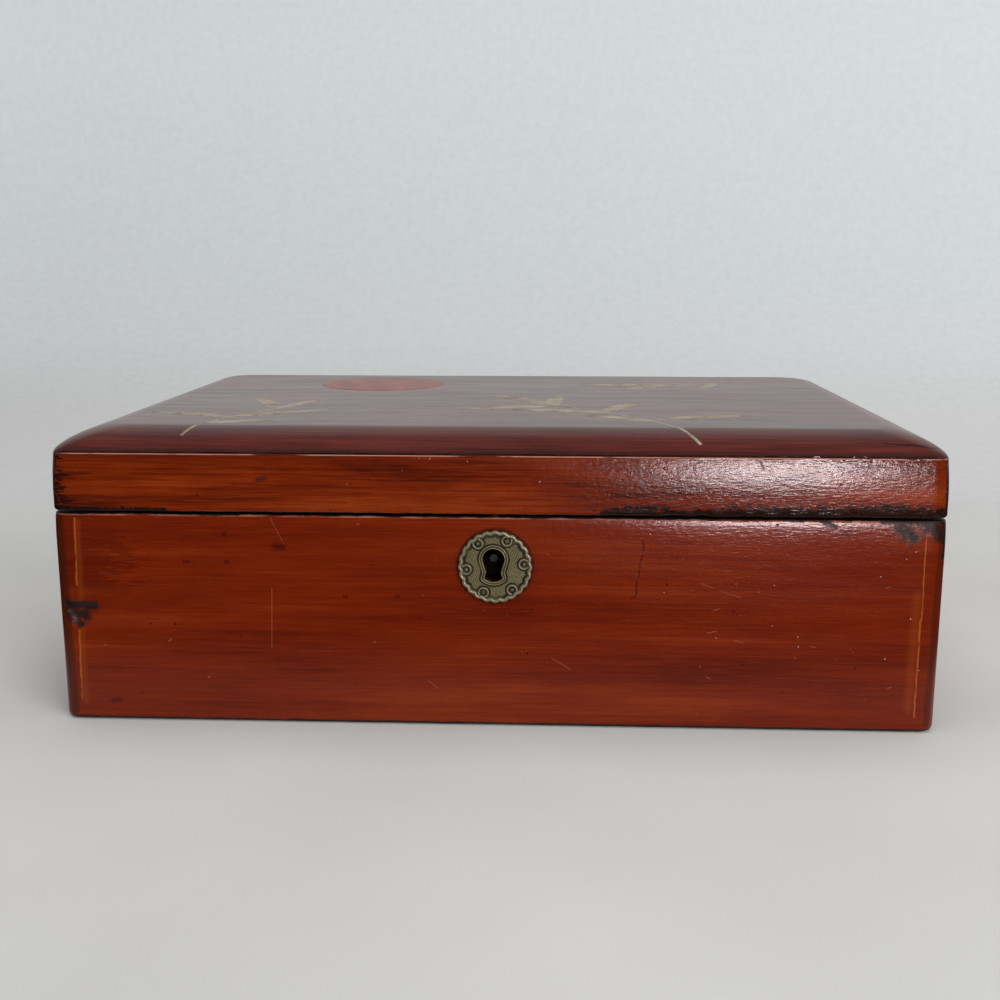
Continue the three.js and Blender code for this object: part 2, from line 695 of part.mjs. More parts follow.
// Boards of the body
function bodyBoards() {
  const form = wallForm(0, bodyHeight, footRounding, seamRounding);
  const height = [0, bodyHeight];
  const inner = back - wallThickness;
  const sideEnd = back - cornerLip - glueGap;
  const room = bottomRoom(glueGap);
  const holes = pegs.map(pegHole);
  const longBoard = (facing) => {
    const ySpan = facing < 0 ? [front, -inner] : [inner, back];
    const board = block([-side, side], ySpan, height).intersect(form);
    return cut(board, ...endHousings(facing, height), room, ...holes);
  };
  const sideBoard = (sx) => {
    const xSpan = sx < 0 ? [-side, wallThickness - side] : [side - wallThickness, side];
    return cut(block(xSpan, [-sideEnd, sideEnd], height).intersect(form), room, ...holes);
  };
  const woodKeyhole = keyholeCutter(woodKeyholeMargin, [front - past, caseOuterY + past]);
  const pinSpan = [front - past, platePinEnd + rivetClearance];
  const platePinHoles = platePinSeats.map((seat) => platePinHole(seat, pinSpan));
  const frontCuts = [...lockMortises(), woodKeyhole, ...lockScrews.map(screwHole), ...platePinHoles];
  const bodyHingeScrews = allHingeScrews.filter((screw) => screw.on === "body");
  const backCuts = [backBevel(-1), ...hingeMortises("body"), ...bodyHingeScrews.map(screwHole)];
  return [
    piece("front_board", cut(longBoard(-1), ...frontCuts), redLacquer),
    piece("back_board", cut(longBoard(1), ...backCuts), redLacquer),
    piece("left_board", sideBoard(-1), redLacquer),
    piece("right_board", sideBoard(1), redLacquer),
    piece("bottom_board", cut(bottomRoom(0).intersect(form), ...holes), redLacquer),
  ];
}

// Boards of the lid
function lidBoards() {
  const form = wallForm(lidBase, lidWallTop + past, seamRounding, 0);
  const height = [lidBase, lidWallTop - glueGap];
  const inner = back - wallThickness;
  const sideEnd = back - cornerLip - glueGap;
  const longRail = (facing) => {
    const ySpan = facing < 0 ? [front, -inner] : [inner, back];
    return cut(block([-side, side], ySpan, height).intersect(form), ...endHousings(facing, height));
  };
  const sideRail = (sx) => {
    const xSpan = sx < 0 ? [-side, wallThickness - side] : [side - wallThickness, side];
    return block(xSpan, [-sideEnd, sideEnd], height).intersect(form);
  };
  const lidHingeScrews = allHingeScrews.filter((screw) => screw.on === "lid");
  const backCuts = [backBevel(1), ...hingeMortises("lid"), ...lidHingeScrews.map(screwHole)];
  return [
    piece("lid_front_rail", cut(longRail(-1), strikeMortise(), ...strikeScrews.map(screwHole)), redLacquer),
    piece("lid_back_rail", cut(longRail(1), ...backCuts), redLacquer),
    piece("lid_left_rail", sideRail(-1), redLacquer),
    piece("lid_right_rail", sideRail(1), redLacquer),
    piece("lid_top_board", topBoard(), lidLacquer),
  ];
}

// The crowned board on top of the lid: an upright edge, then a curve up to the flat
function topBoard() {
  const arris = lidWallTop + lidEdgeHeight;
  const edge = [lidWallTop, arris].map((z) => planRing(0, cornerRadius, z));
  const crown = Array.from({ length: crownSteps }, (_, i) => {
    const angle = ((i + 1) / crownSteps) * (Math.PI / 2);
    const inward = 1 - Math.cos(angle) ** (2 / crownFullness);
    const upward = Math.sin(angle) ** (2 / crownFullness);
    const radius = cornerRadius + (crownCornerRadius - cornerRadius) * inward;
    return planRing(crownInset * inward, radius, arris + crownRise * upward);
  });
  return skin([...edge, ...crown]);
}

const body = new THREE.Group();
body.add(...bodyBoards());
for (const { name, x, y } of pegs) {
  body.add(piece(name, pegBar(0, { x, y }, [pegRecess, pegLength]), bamboo));
}
for (const hinge of hinges) {
  body.add(piece(`${hinge.name}_body_leaf`, hingeLeaf(hinge, "body"), lockBrass));
  body.add(piece(`${hinge.name}_pin`, barAtHinge(pinRadius, hingeSpan(hinge.x)), lockBrass));
}
for (const screw of [...allHingeScrews.filter(({ on }) => on === "body"), ...lockScrews]) {
  body.add(screwPiece(screw.name, screw));
}
body.add(piece("keyhole_plate", keyholePlate(), agedBrass));
platePinSeats.forEach((seat, i) => body.add(piece(`keyhole_plate_pin_${i + 1}`, platePin(seat), agedBrass)));
body.add(piece("lock_plate", lockPlate(), lockBrass));
body.add(piece("lock_case", lockCase(), lockBrass));
body.add(piece("lock_key_pin", keyPin(), springSteel));
guidePlaces.forEach((place) => body.add(piece(place.name, guidePin(place), lockBrass)));
body.add(piece("lock_spring", boltSpring(), springSteel));
body.add(piece("lock_bolt", lockBolt(), lockBrass));

const lid = new THREE.Group();
lid.add(...lidBoards());
for (const hinge of hinges) {
  lid.add(piece(`${hinge.name}_lid_leaf`, hingeLeaf(hinge, "lid"), lockBrass));
}
for (const screw of [...allHingeScrews.filter(({ on }) => on === "lid"), ...strikeScrews]) {
  lid.add(screwPiece(screw.name, screw));
}
lid.add(piece("strike_plate", strikePlate(), lockBrass));

const lacquerBox = new THREE.Group();
lacquerBox.add(body, lid);
export default lacquerBox;
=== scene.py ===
# %% [markdown]
# # A red lacquer box with a crowned lid
# The real box is made of thin boards, glued and pegged, then primed, coloured red and lacquered.
# The frame that is loaded first holds the exact solids of all its pieces, and everything below is
# built round it: finer boards where the surface shows, and a finish for every piece of metal.

# %% Load the frame
import math
import bmesh
import bpy
import numpy as np
from mathutils import Matrix, Vector, noise
from mathutils.bvhtree import BVHTree


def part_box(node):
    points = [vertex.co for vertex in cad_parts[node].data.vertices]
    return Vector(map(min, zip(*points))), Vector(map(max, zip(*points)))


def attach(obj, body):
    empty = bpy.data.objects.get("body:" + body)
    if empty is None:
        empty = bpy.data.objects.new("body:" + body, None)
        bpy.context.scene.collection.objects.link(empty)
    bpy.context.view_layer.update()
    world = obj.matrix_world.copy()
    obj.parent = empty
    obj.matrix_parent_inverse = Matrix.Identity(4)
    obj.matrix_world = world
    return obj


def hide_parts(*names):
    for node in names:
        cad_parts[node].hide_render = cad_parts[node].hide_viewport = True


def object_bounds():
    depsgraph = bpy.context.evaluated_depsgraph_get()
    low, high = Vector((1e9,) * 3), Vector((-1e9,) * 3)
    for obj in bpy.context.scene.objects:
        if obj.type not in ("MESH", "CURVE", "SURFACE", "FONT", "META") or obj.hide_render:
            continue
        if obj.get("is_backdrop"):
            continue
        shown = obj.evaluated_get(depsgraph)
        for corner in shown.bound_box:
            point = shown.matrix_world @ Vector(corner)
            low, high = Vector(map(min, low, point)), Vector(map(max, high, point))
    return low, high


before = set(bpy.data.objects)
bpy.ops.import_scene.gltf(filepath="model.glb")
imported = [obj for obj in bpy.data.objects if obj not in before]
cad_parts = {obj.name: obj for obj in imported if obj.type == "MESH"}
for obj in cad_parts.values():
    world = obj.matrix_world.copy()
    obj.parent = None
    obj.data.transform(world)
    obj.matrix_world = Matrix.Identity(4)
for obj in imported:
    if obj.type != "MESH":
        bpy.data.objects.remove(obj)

frame_low, frame_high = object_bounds()
scene = bpy.context.scene
mm = 0.001
print(len(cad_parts), "pieces in a frame of", [round(s / mm, 2) for s in frame_high - frame_low], "mm")

# %% [markdown]
# ## Sizes
# Blender works in metres. Each size is read from the frame's own pieces, so that a board made here
# lies where its solid lies. Small sizes that only the surface needs are given in millimetres.

# %% Read the sizes of the boards
front_low, front_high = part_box("front_board")
crown_low, crown_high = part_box("lid_top_board")
half_width = front_high.x
half_depth = -front_low.y
wall = front_high.y - front_low.y
rim_z = front_high.z
lid_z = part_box("lid_front_rail")[0].z
print("wall, rim and foot of the lid, in mm:", [round(v / mm, 2) for v in (wall, rim_z, lid_z)])

# %% [markdown]
# ## Camera
# The box is seen from slightly right of its middle and a little above its lid. A camera's turn is
# given here as how far it looks down and to the left, and its lens from the focal length in pixels
# of a picture that is 1000 pixels wide, on a sensor 36 mm wide.

# %% Set the camera
picture_width = 1000
focal_pixels = 1224.9
sensor_width = 36
eye = Vector((18.8, -455.0, 144.1)) * mm
look_down = 0.1977
look_left = 0.0462

camera_data = bpy.data.cameras.new("camera")
camera_data.sensor_width = sensor_width
camera_data.lens = focal_pixels / picture_width * sensor_width
camera_data.clip_start = 0.01
camera = bpy.data.objects.new("camera", camera_data)
camera.location = eye
camera.rotation_euler = (math.pi / 2 - look_down, 0, look_left)
scene.collection.objects.link(camera)
scene.camera = camera
scene.view_settings.view_transform = "Standard"
print("lens", round(camera_data.lens, 2), "mm")

# %% [markdown]
# ## A few small tools for materials
# A colour is picked as a hex value, as painters' charts give it, and shaders count in linear light,
# so one function turns the one into the other. Another adds any node: its settings, the values or
# links of its inputs, and the output that is handed on. Every material starts in the same way, and
# its patterns lie in the object's own space, so they stay on it when it moves.

# %% Colours and nodes
soft_step = {"interpolation_type": "SMOOTHSTEP"}
colour_mix = {"out": 2, "data_type": "RGBA", "clamp_factor": True}


def linear(hex_colour):
    """A hex colour as linear red, green, blue and alpha."""
    parts = [int(hex_colour[i : i + 2], 16) / 255 for i in (1, 3, 5)]
    return [p / 12.92 if p <= 0.04045 else ((p + 0.055) / 1.055) ** 2.4 for p in parts] + [1]


def fill(tree, node, inputs):
    """Fills inputs with values or links."""
    for name, value in inputs.items():
        if isinstance(value, bpy.types.NodeSocket):
            tree.links.new(value, node.inputs[name])
        else:
            node.inputs[name].default_value = value


def add(tree, kind, inputs, out=0, stops=(), **settings):
    """Adds a node with its settings, fills its inputs, and gives one output."""
    node = tree.nodes.new("ShaderNode" + kind)
    for name, value in settings.items():
        setattr(node, name, value)
    fill(tree, node, inputs)
    for i, (position, hex_colour) in enumerate(stops):
        elements = node.color_ramp.elements
        element = elements[i] if i < len(elements) else elements.new(1)
        element.position = position
        element.color = linear(hex_colour)
    return node.outputs[out]


def start_material(name):
    """A new material, its node tree, its surface shader, and the place in the object's space."""
    material = bpy.data.materials.new(name)
    material.use_nodes = True
    tree = material.node_tree
    return material, tree, tree.nodes["Principled BSDF"], add(tree, "TexCoord", {}, out="Object")


print("red at half strength is", [round(c, 3) for c in linear("#800000")])

# %% [markdown]
# ## Floor and backdrop
# A photographer's sweep is one sheet that lies under the object and curves up behind it, so that
# no line shows where they meet. Close to the box it is a matt sheet that keeps the shadow. Further
# out it has a pale tone of its own, with painted light that makes it paler to the right, and it is
# even far out. Polished surfaces mirror the box's surroundings, so what they see of the sheet is set
# apart: darker on the floor beyond the box, pale on the wall.

# %% Shape the sweep
sweep_side = 1.9
sweep_bend = 0.34
sweep_top = 1.5
sweep_wall = 0.95
bend_steps = 24


def build_sweep():
    turns = [i / bend_steps * math.pi / 2 for i in range(bend_steps + 1)]
    bend = [(sweep_wall - sweep_bend * (1 - math.sin(a)), sweep_bend * (1 - math.cos(a))) for a in turns]
    profile = [(-sweep_side, 0.0), *bend, (sweep_wall, sweep_top)]
    points = [(x, y, z) for y, z in profile for x in (-sweep_side, sweep_side)]
    faces = [(2 * i, 2 * i + 1, 2 * i + 3, 2 * i + 2) for i in range(len(profile) - 1)]
    mesh = bpy.data.meshes.new("sweep")
    mesh.from_pydata(points, [], faces)
    mesh.shade_smooth()
    sweep = bpy.data.objects.new("sweep", mesh)
    scene.collection.objects.link(sweep)
    sweep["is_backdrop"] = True
    return sweep


sweep = build_sweep()
print("sweep", len(sweep.data.polygons), "faces")

# %% Paper of the sweep
paper_far = "#d2d7d8"
# Painted light: the sheet is paler on its right side, where the room's light falls.
paper_left_painted_light = [(0, "#bcbdbc"), (0.04, "#c2c6c7"), (0.24, "#cdd2d4")]
paper_right_painted_light = [(0, "#cfd0cf"), (0.04, "#d3d7d8"), (0.24, "#dae0e0")]
wall_mirrored = [(0.0, "#c0c2c1"), (0.65, "#bfc2c2"), (0.85, "#b2b4b3"), (1.0, "#a6a8a8")]
floor_mirrored = [(0, "#9c9c99"), (1, "#202020")]
matt_reach, tone_reach = 0.2, 0.45
even_from, even_to = 1.15, 1.75


def paper_tone(tree, place, glossy, upwards):
    """The sheet's tone, with painted light that makes it paler to the right; it is paler upwards, has a
    faint weave, and is even far out.
    """
    across = add(tree, "SeparateXYZ", {0: place}, out="X")
    rightwards = add(tree, "MapRange", {0: across, 1: -0.5, 2: 0.5})
    left = add(tree, "ValToRGB", {0: upwards}, stops=paper_left_painted_light)
    right = add(tree, "ValToRGB", {0: upwards}, stops=paper_right_painted_light)
    weave = add(tree, "TexNoise", {"Vector": place, "Scale": 140.0, "Detail": 3.0})
    weave = add(tree, "ValToRGB", {0: weave}, stops=[(0.35, "#fafafa"), (0.65, "#ffffff")])
    tone = add(tree, "Mix", {0: rightwards, 6: left, 7: right}, **colour_mix)
    tone = add(tree, "Mix", {0: 1.0, 6: tone, 7: weave}, blend_type="MULTIPLY", **colour_mix)
    distance = add(tree, "VectorMath", {0: place}, operation="LENGTH", out="Value")
    even = add(tree, "MapRange", {0: distance, 1: even_from, 2: even_to})
    tone = add(tree, "Mix", {0: even, 6: tone, 7: linear(paper_far)}, **colour_mix)
    mirrored = add(tree, "ValToRGB", {0: upwards}, stops=wall_mirrored)
    return add(tree, "Mix", {0: glossy, 6: tone, 7: mirrored}, **colour_mix)


def floor_colour(tree, place, glossy):
    """The matt grey near the box, and what the lacquer mirrors of it, darker away from the box."""
    fibre = add(tree, "TexNoise", {"Vector": place, "Scale": 9.0, "Detail": 2.0})
    grey = add(tree, "ValToRGB", {0: fibre}, stops=[(0.3, "#bdbcb9"), (0.7, "#c4c3c0")])
    sides = add(tree, "VectorMath", {0: place}, operation="ABSOLUTE")
    clear = add(tree, "VectorMath", {0: sides, 1: (half_width, half_depth, 0)}, operation="SUBTRACT")
    beside, before = (add(tree, "SeparateXYZ", {0: clear}, out=axis) for axis in "XY")
    from_box = add(tree, "Math", {0: beside, 1: before}, operation="MAXIMUM")
    beyond = add(tree, "MapRange", {0: from_box, 1: 0.035, 2: 0.085})
    mirrored = add(tree, "ValToRGB", {0: beyond}, stops=floor_mirrored)
    return add(tree, "Mix", {0: glossy, 6: grey, 7: mirrored}, **colour_mix)


def paper_material():
    material, tree, surface, place = start_material("sweep_paper")
    back, height = (add(tree, "SeparateXYZ", {0: place}, out=axis) for axis in "YZ")
    upwards = add(tree, "MapRange", {0: height, 2: sweep_top})
    seen, glossy = (add(tree, "LightPath", {}, out=f"Is {ray} Ray") for ray in ("Camera", "Glossy"))
    glow = add(tree, "Emission", {"Color": paper_tone(tree, place, glossy, upwards), "Strength": 1.0})
    behind = add(tree, "MapRange", {0: back, 1: 0.15, 2: 0.4})
    glossy_behind = add(tree, "Math", {0: glossy, 1: behind}, operation="MULTIPLY")
    toned = add(tree, "Math", {0: seen, 1: glossy_behind}, operation="MAXIMUM")
    distance = add(tree, "VectorMath", {0: place}, operation="LENGTH", out="Value")
    far = add(tree, "MapRange", {0: distance, 1: matt_reach, 2: tone_reach}, **soft_step)
    share = add(tree, "Math", {0: far, 1: toned}, operation="MULTIPLY")
    grey = floor_colour(tree, place, glossy)
    fill(tree, surface, {"Base Color": grey, "Roughness": 0.9, "Specular IOR Level": 0.1})
    mixed = add(tree, "MixShader", {0: share, 1: surface.outputs[0], 2: glow})
    fill(tree, tree.nodes["Material Output"], {"Surface": mixed})
    return material


sweep.data.materials.append(paper_material())
print("sweep paper:", len(sweep.data.materials[0].node_tree.nodes), "nodes")

# %% [markdown]
# ## The room and its lamps
# The room is a soft, even light. Polished lacquer also mirrors it, so the room is pale behind the
# box and darker on the side that the box faces, as a room is with a window at the front right.
# The window is a small lamp that fades towards its edges, and it only shows as a highlight. Two
# larger lamps, in front and under the ceiling, give the soft shadow and aren't mirrored.

# %% Room light
room_light = 0.58
room_mirrored = [(0.0, "#1c1c1c"), (0.3, "#242424"), (0.5, "#a2a2a2"), (0.8, "#929292"), (0.98, "#6e6e6e")]


def light_room():
    world = bpy.data.worlds.new("room")
    scene.world = world
    world.use_nodes = True
    tree = world.node_tree
    tree.nodes.clear()
    way = add(tree, "TexCoord", {}, out="Generated")
    upwards = add(tree, "SeparateXYZ", {0: way}, out="Z")
    mirrored = add(tree, "ValToRGB", {0: upwards}, stops=room_mirrored)
    lights = [(linear(paper_far), 1.0), (mirrored, 1.0), (linear("#f4f6f8"), room_light)]
    backdrop, gloss, even = (add(tree, "Background", {"Color": c, "Strength": s}) for c, s in lights)
    seen, glossy = (add(tree, "LightPath", {}, out=f"Is {ray} Ray") for ray in ("Camera", "Glossy"))
    rest = add(tree, "MixShader", {0: glossy, 1: even, 2: gloss})
    whole = add(tree, "MixShader", {0: seen, 1: rest, 2: backdrop})
    fill(tree, tree.nodes.new("ShaderNodeOutputWorld"), {"Surface": whole})


light_room()
print("even light of the room:", room_light)

# %% Lamps
lid_front = Vector((0.08, -half_depth, 0.075))
curtain_edge, curtain_full = 0.5, 0.2


def soft_lamp(name, place, target, size, watts, colour):
    """A rectangular lamp that faces a point."""
    data = bpy.data.lights.new(name, "AREA")
    data.shape = "RECTANGLE"
    data.size, data.size_y = size
    data.energy = watts
    data.color = linear(colour)[:3]
    lamp = bpy.data.objects.new(name, data)
    lamp.location = place
    lamp.rotation_euler = (Vector(target) - Vector(place)).to_track_quat("-Z", "Y").to_euler()
    scene.collection.objects.link(lamp)
    return lamp


def soften_edges(data):
    """Lets a lamp fade from its middle to its edges, as light does through a curtain."""
    data.use_nodes = True
    tree = data.node_tree
    across = add(tree, "NewGeometry", {}, out="Parametric")
    centred = add(tree, "VectorMath", {0: across, 1: (0.5, 0.5, 0.0)}, operation="SUBTRACT")
    sides = add(tree, "VectorMath", {0: centred}, operation="ABSOLUTE")
    strength = 1.0
    for axis in "XY":
        side = add(tree, "SeparateXYZ", {0: sides}, out=axis)
        fade = add(tree, "MapRange", {0: side, 1: curtain_edge, 2: curtain_full}, **soft_step)
        strength = add(tree, "Math", {0: fade, 1: strength}, operation="MULTIPLY")
    fill(tree, tree.nodes["Emission"], {"Strength": strength})


window = soft_lamp("window_lamp", (0.28, -1.15, 0.086), lid_front, (0.28, 0.15), 8.0, "#fff4f6")
window.visible_diffuse = False
soften_edges(window.data)
front_lamp = soft_lamp("front_lamp", (0.72, -1.0, 0.5), lid_front, (0.7, 0.6), 10.0, "#ffffff")
ceiling_lamp = soft_lamp("ceiling_lamp", (0.0, -0.15, 1.3), (0, 0, 0), (1.1, 1.1), 8.5, "#ffffff")
front_lamp.visible_glossy = False
ceiling_lamp.visible_glossy = False

# %% [markdown]
# ## Lacquered wood
# The boards are a fine grained softwood. Red lacquer was laid on in thin coats over a coloured
# ground, so the grain still shows as faint lines along each board, and the coats are redder where
# they are thick. The coat is glossy but was never polished flat, so a highlight on it breaks up
# into small facets. Each pattern is sized by what it stands for: growth lines about 0.9 mm apart
# and 45 mm long, brush marks about 9 mm wide, and dimples of 1.5 mm. Four small tools do the rest:
# noise drawn out along the grain, a sum of patterns, thin coats of colour, and a level stripe.

# %% Patterns and coats
grain_pitch, grain_length = 0.9 * mm, 45 * mm
brush_width, brush_length = 9 * mm, 120 * mm


def stretched(tree, place, run, across, along, **settings):
    """Noise whose patches are as wide as across and as long as along, in the run direction (0 is X)."""
    scale = [1 / across] * 3
    scale[run] = 1 / along
    mapped = add(tree, "Mapping", {"Vector": place, "Scale": scale})
    return add(tree, "TexNoise", {"Vector": mapped, "Scale": 1.0, **settings})


def summed(tree, parts):
    """A sum of patterns, each times its weight."""
    total = 0.0
    for pattern, weight in parts:
        total = add(tree, "Math", {0: pattern, 1: weight, 2: total}, operation="MULTIPLY_ADD")
    return total


def coats(tree, colour, layers):
    """Thin coats over a colour, each with the masks that it goes through, a strength and a colour."""
    for masks, strength, coat in layers:
        share = strength
        for mask in masks:
            share = add(tree, "Math", {0: mask, 1: share}, operation="MULTIPLY")
        colour = add(tree, "Mix", {0: share, 6: colour, 7: linear(coat)}, **colour_mix)
    return colour


def stripe(tree, height, level, whole, gone):
    """A mask along a level line: whole within one distance of it, and gone beyond another."""
    away = add(tree, "Math", {0: height, 1: level}, operation="SUBTRACT")
    away = add(tree, "Math", {0: away}, operation="ABSOLUTE")
    return add(tree, "MapRange", {0: away, 1: gone, 2: whole}, **soft_step)


print("growth lines", grain_pitch / mm, "mm apart, brush marks", brush_width / mm, "mm wide")

# %% [markdown]
# ## Marks of use
# Some marks are painted light and shade instead: dark lines down the rounded corners, a highlight along the
# rim and a shadow round the keyhole plate.
# Old lacquer has its own map of marks: corners rubbed through to the orange ground, scratches,
# knots that show as dark ovals, and black along the edges where the rim's black coat shows.
# A mark is drawn here as a stroke: a short line with round ends, from one point to another on a
# face, with a width. Points are in millimetres, across the box and up from the floor.

# %% Draw strokes
def stroke(tree, flat, start, end, width, soft):
    """A mask for a stroke on the front. Width is from its line to its edge, in millimetres."""
    a = Vector((start[0], 0, start[1])) * mm
    run = Vector((end[0], 0, end[1])) * mm - a
    offset = add(tree, "VectorMath", {0: flat, 1: a}, operation="SUBTRACT")
    per_run = run / run.length_squared
    along = add(tree, "VectorMath", {0: offset, 1: per_run}, operation="DOT_PRODUCT", out="Value")
    share = add(tree, "Math", {0: along, 1: 0.0}, operation="ADD", use_clamp=True)
    reached = add(tree, "VectorMath", {0: run, "Scale": share}, operation="SCALE")
    away = add(tree, "VectorMath", {0: offset, 1: reached}, operation="DISTANCE", out="Value")
    return add(tree, "MapRange", {0: away, 1: width * mm, 2: width * (1 - soft) * mm}, **soft_step)


def strokes(tree, flat, marks, widen=1.0, soft=1.0):
    """One mask for a list of strokes."""
    whole = 0.0
    for start, end, width in marks:
        mark = stroke(tree, flat, start, end, width * widen, soft)
        whole = add(tree, "Math", {0: mark, 1: whole}, operation="MAXIMUM")
    return whole


def flattened(tree, place):
    """The place seen from the front, without its depth."""
    return add(tree, "VectorMath", {0: place, 1: (1, 0, 1)}, operation="MULTIPLY")


print("strokes are drawn in millimetres")

# %% [markdown]
# No mark of use has a clean outline. A stroke gets a ragged edge where its place wavers, a stain is
# eaten away by finer noise, and where the coat has come off along the grain the edge has teeth.

# %% Ragged edges
def wavering(tree, place, reach, size):
    """The place moved about by noise, by a reach and in patches of a size, both in millimetres."""
    there = add(tree, "TexNoise", {"Vector": place, "Scale": 1 / (size * mm), "Detail": 3.0}, out="Color")
    centred = add(tree, "VectorMath", {0: there, 1: (0.5, 0.5, 0.5)}, operation="SUBTRACT")
    moved = add(tree, "VectorMath", {0: centred, "Scale": 2 * reach * mm}, operation="SCALE")
    return add(tree, "VectorMath", {0: place, 1: moved}, operation="ADD")


def eroded(tree, place, mask, front):
    """A soft mask on the front, eaten away by noise, so that it is mottled as a stain is."""
    grit_size = 1.5 * mm
    speckled = {"Scale": 1 / grit_size, "Detail": 6.0, "Roughness": 0.8}
    grit = add(tree, "TexNoise", {"Vector": place, **speckled})
    eaten = add(tree, "Math", {0: grit, 1: 3.2, 2: mask}, operation="MULTIPLY_ADD")
    left = add(tree, "MapRange", {0: eaten, 1: 1.7, 2: 2.4}, **soft_step)
    near = add(tree, "MapRange", {0: mask, 2: 0.25})
    kept = add(tree, "Math", {0: left, 1: near}, operation="MULTIPLY")
    return add(tree, "Math", {0: kept, 1: front}, operation="MULTIPLY")


def toothed(tree, place, across, edge, reach):
    """A mask for what lies left of an edge, which breaks up into teeth along the grain."""
    tooth_width, tooth_length = 0.8 * mm, 9 * mm
    teeth = stretched(tree, place, 0, tooth_width, tooth_length, Detail=3.0, Roughness=0.6)
    moved = add(tree, "Math", {0: teeth, 1: reach * mm, 2: across}, operation="MULTIPLY_ADD")
    middle = (edge + reach / 2) * mm
    return add(tree, "MapRange", {0: moved, 1: middle, 2: middle - mm}, **soft_step)


def front_only(tree, depth):
    """A mask for the front face, which fades out round the corners."""
    turned, flat = half_depth - 4.8 * mm, half_depth - 2.5 * mm
    return add(tree, "MapRange", {0: depth, 1: -turned, 2: -flat}, **soft_step)


print("edges of marks waver, crumble or break into teeth")

# %% Marks of the front
seam_z = (rim_z + lid_z) / 2
body_worn = [
    ((-128.3, 65.0), (-128.9, 44.0), 0.45),
    ((-129.1, 29.0), (-129.8, 7.0), 0.5),
    ((129.0, 63.0), (129.2, 36.0), 0.32),
    ((128.9, 36.0), (129.0, 5.0), 0.42),
]
body_glow = [((-127.4, 64.0), (-128.6, 6.0), 1.6), ((127.6, 44.0), (127.0, 8.0), 2.4)]
# Painted shade: dark lines down the rounded corners, where they turn away from the light.
body_corner_shade = [((-133.6, 66.0), (-132.6, 3.0), 2.3), ((134.0, 60.0), (133.0, 3.0), 1.6)]
body_scratches = [
    ((-68.0, 43.5), (-68.7, 24.7), 0.22),
    ((-67.8, 65.7), (-63.8, 57.6), 0.16),
    ((69.0, 44.4), (75.0, 42.5), 0.14),
    ((66.8, 38.3), (68.6, 38.9), 0.25),
    ((65.4, 31.2), (68.0, 31.8), 0.28),
    ((73.6, 29.0), (76.2, 28.2), 0.2),
    ((62.8, 46.8), (66.6, 45.4), 0.18),
    ((118.2, 46.0), (119.6, 46.4), 0.25),
    ((120.4, 14.4), (121.5, 14.7), 0.3),
    ((65.4, 17.0), (66.8, 16.6), 0.25),
    ((96.6, 27.4), (98.0, 27.1), 0.22),
    ((18.0, 22.5), (24.0, 18.8), 0.2),
    ((-20.0, 14.5), (-17.2, 12.2), 0.18),
    ((-100.9, 26.2), (-100.2, 26.8), 0.4),
    ((-89.2, 14.5), (-88.6, 14.8), 0.4),
    ((-121.5, 24.5), (-121.0, 24.8), 0.35),
    ((-36.8, 26.6), (-36.3, 26.9), 0.35),
    ((-41.2, 63.9), (-40.7, 64.2), 0.35),
]
body_dark = [
    ((-66.6, 56.8), (-64.2, 56.6), 1.5),
    ((-82.3, 60.4), (-81.9, 60.7), 0.8),
    ((-82.2, 51.8), (-81.4, 51.9), 0.8),
    ((-95.0, 51.6), (-93.4, 51.7), 0.6),
    ((-45.8, 41.1), (-45.0, 41.2), 0.6),
    ((-29.5, 41.3), (-28.7, 41.4), 0.6),
    ((-119.8, 6.4), (-117.8, 6.6), 1.1),
    ((45.2, 59.7), (45.5, 56.5), 0.5),
    ((44.9, 55.2), (43.9, 48.5), 0.35),
    ((43.7, 47.2), (43.2, 42.0), 0.4),
    ((41.8, 41.6), (43.2, 42.0), 0.35),
    ((105.4, 62.4), (106.2, 62.6), 1.2),
]
# Black stains where the rim's black coat shows, and one stroke down the right corner that is painted shade.
body_black_and_corner_shade = [
    ((-132.0, 37.2), (-123.6, 37.4), 2.0),
    ((-131.0, 34.4), (-127.6, 34.2), 2.6),
    ((-129.6, 32.0), (-128.8, 31.6), 1.6),
    ((116.0, 66.9), (134.0, 66.6), 2.0),
    ((121.0, 65.0), (124.6, 62.0), 2.7),
    ((128.5, 66.0), (134.0, 62.5), 2.8),
    # Painted shade down the right corner, where it turns away from the light.
    ((134.6, 66.0), (135.5, 56.0), 1.4),
    ((98.0, 66.6), (102.0, 64.6), 1.1),
    ((88.0, 67.0), (92.0, 66.4), 0.9),
]
print(len(body_scratches), "scratches,", len(body_dark), "dark marks,", len(body_black_and_corner_shade), "black stains")

# %% [markdown]
# ## The red coats
# Lacquer is a resin, so its surface shader is an insulator with an index near 1.5 and a low
# roughness. Four shades from dark to light carry the grain. Worn places are the orange brown of
# the ground coat, and the black belongs to the rim's own coat, which runs over the seam's edges.
# The relief is one sum too: the grain, a brush's drag, dimples, slow swells, crinkles and nibs of
# dust, all within a few hundredths of a millimetre.

# %% Red lacquer
ground_orange = "#a4551c"
bared_wood = "#b98a74"
rim_black = "#160d0b"
knot_maroon = "#3a0806"
brush_share = 0.45
shade_steps = (-0.125, -0.045, 0.025, 0.115)
dimple, swell_size = 1.5 * mm, 7 * mm
nib_spacing, prick_spacing = 5 * mm, 9 * mm
relief_depth = 0.035 * mm
lacquer_index = 1.5


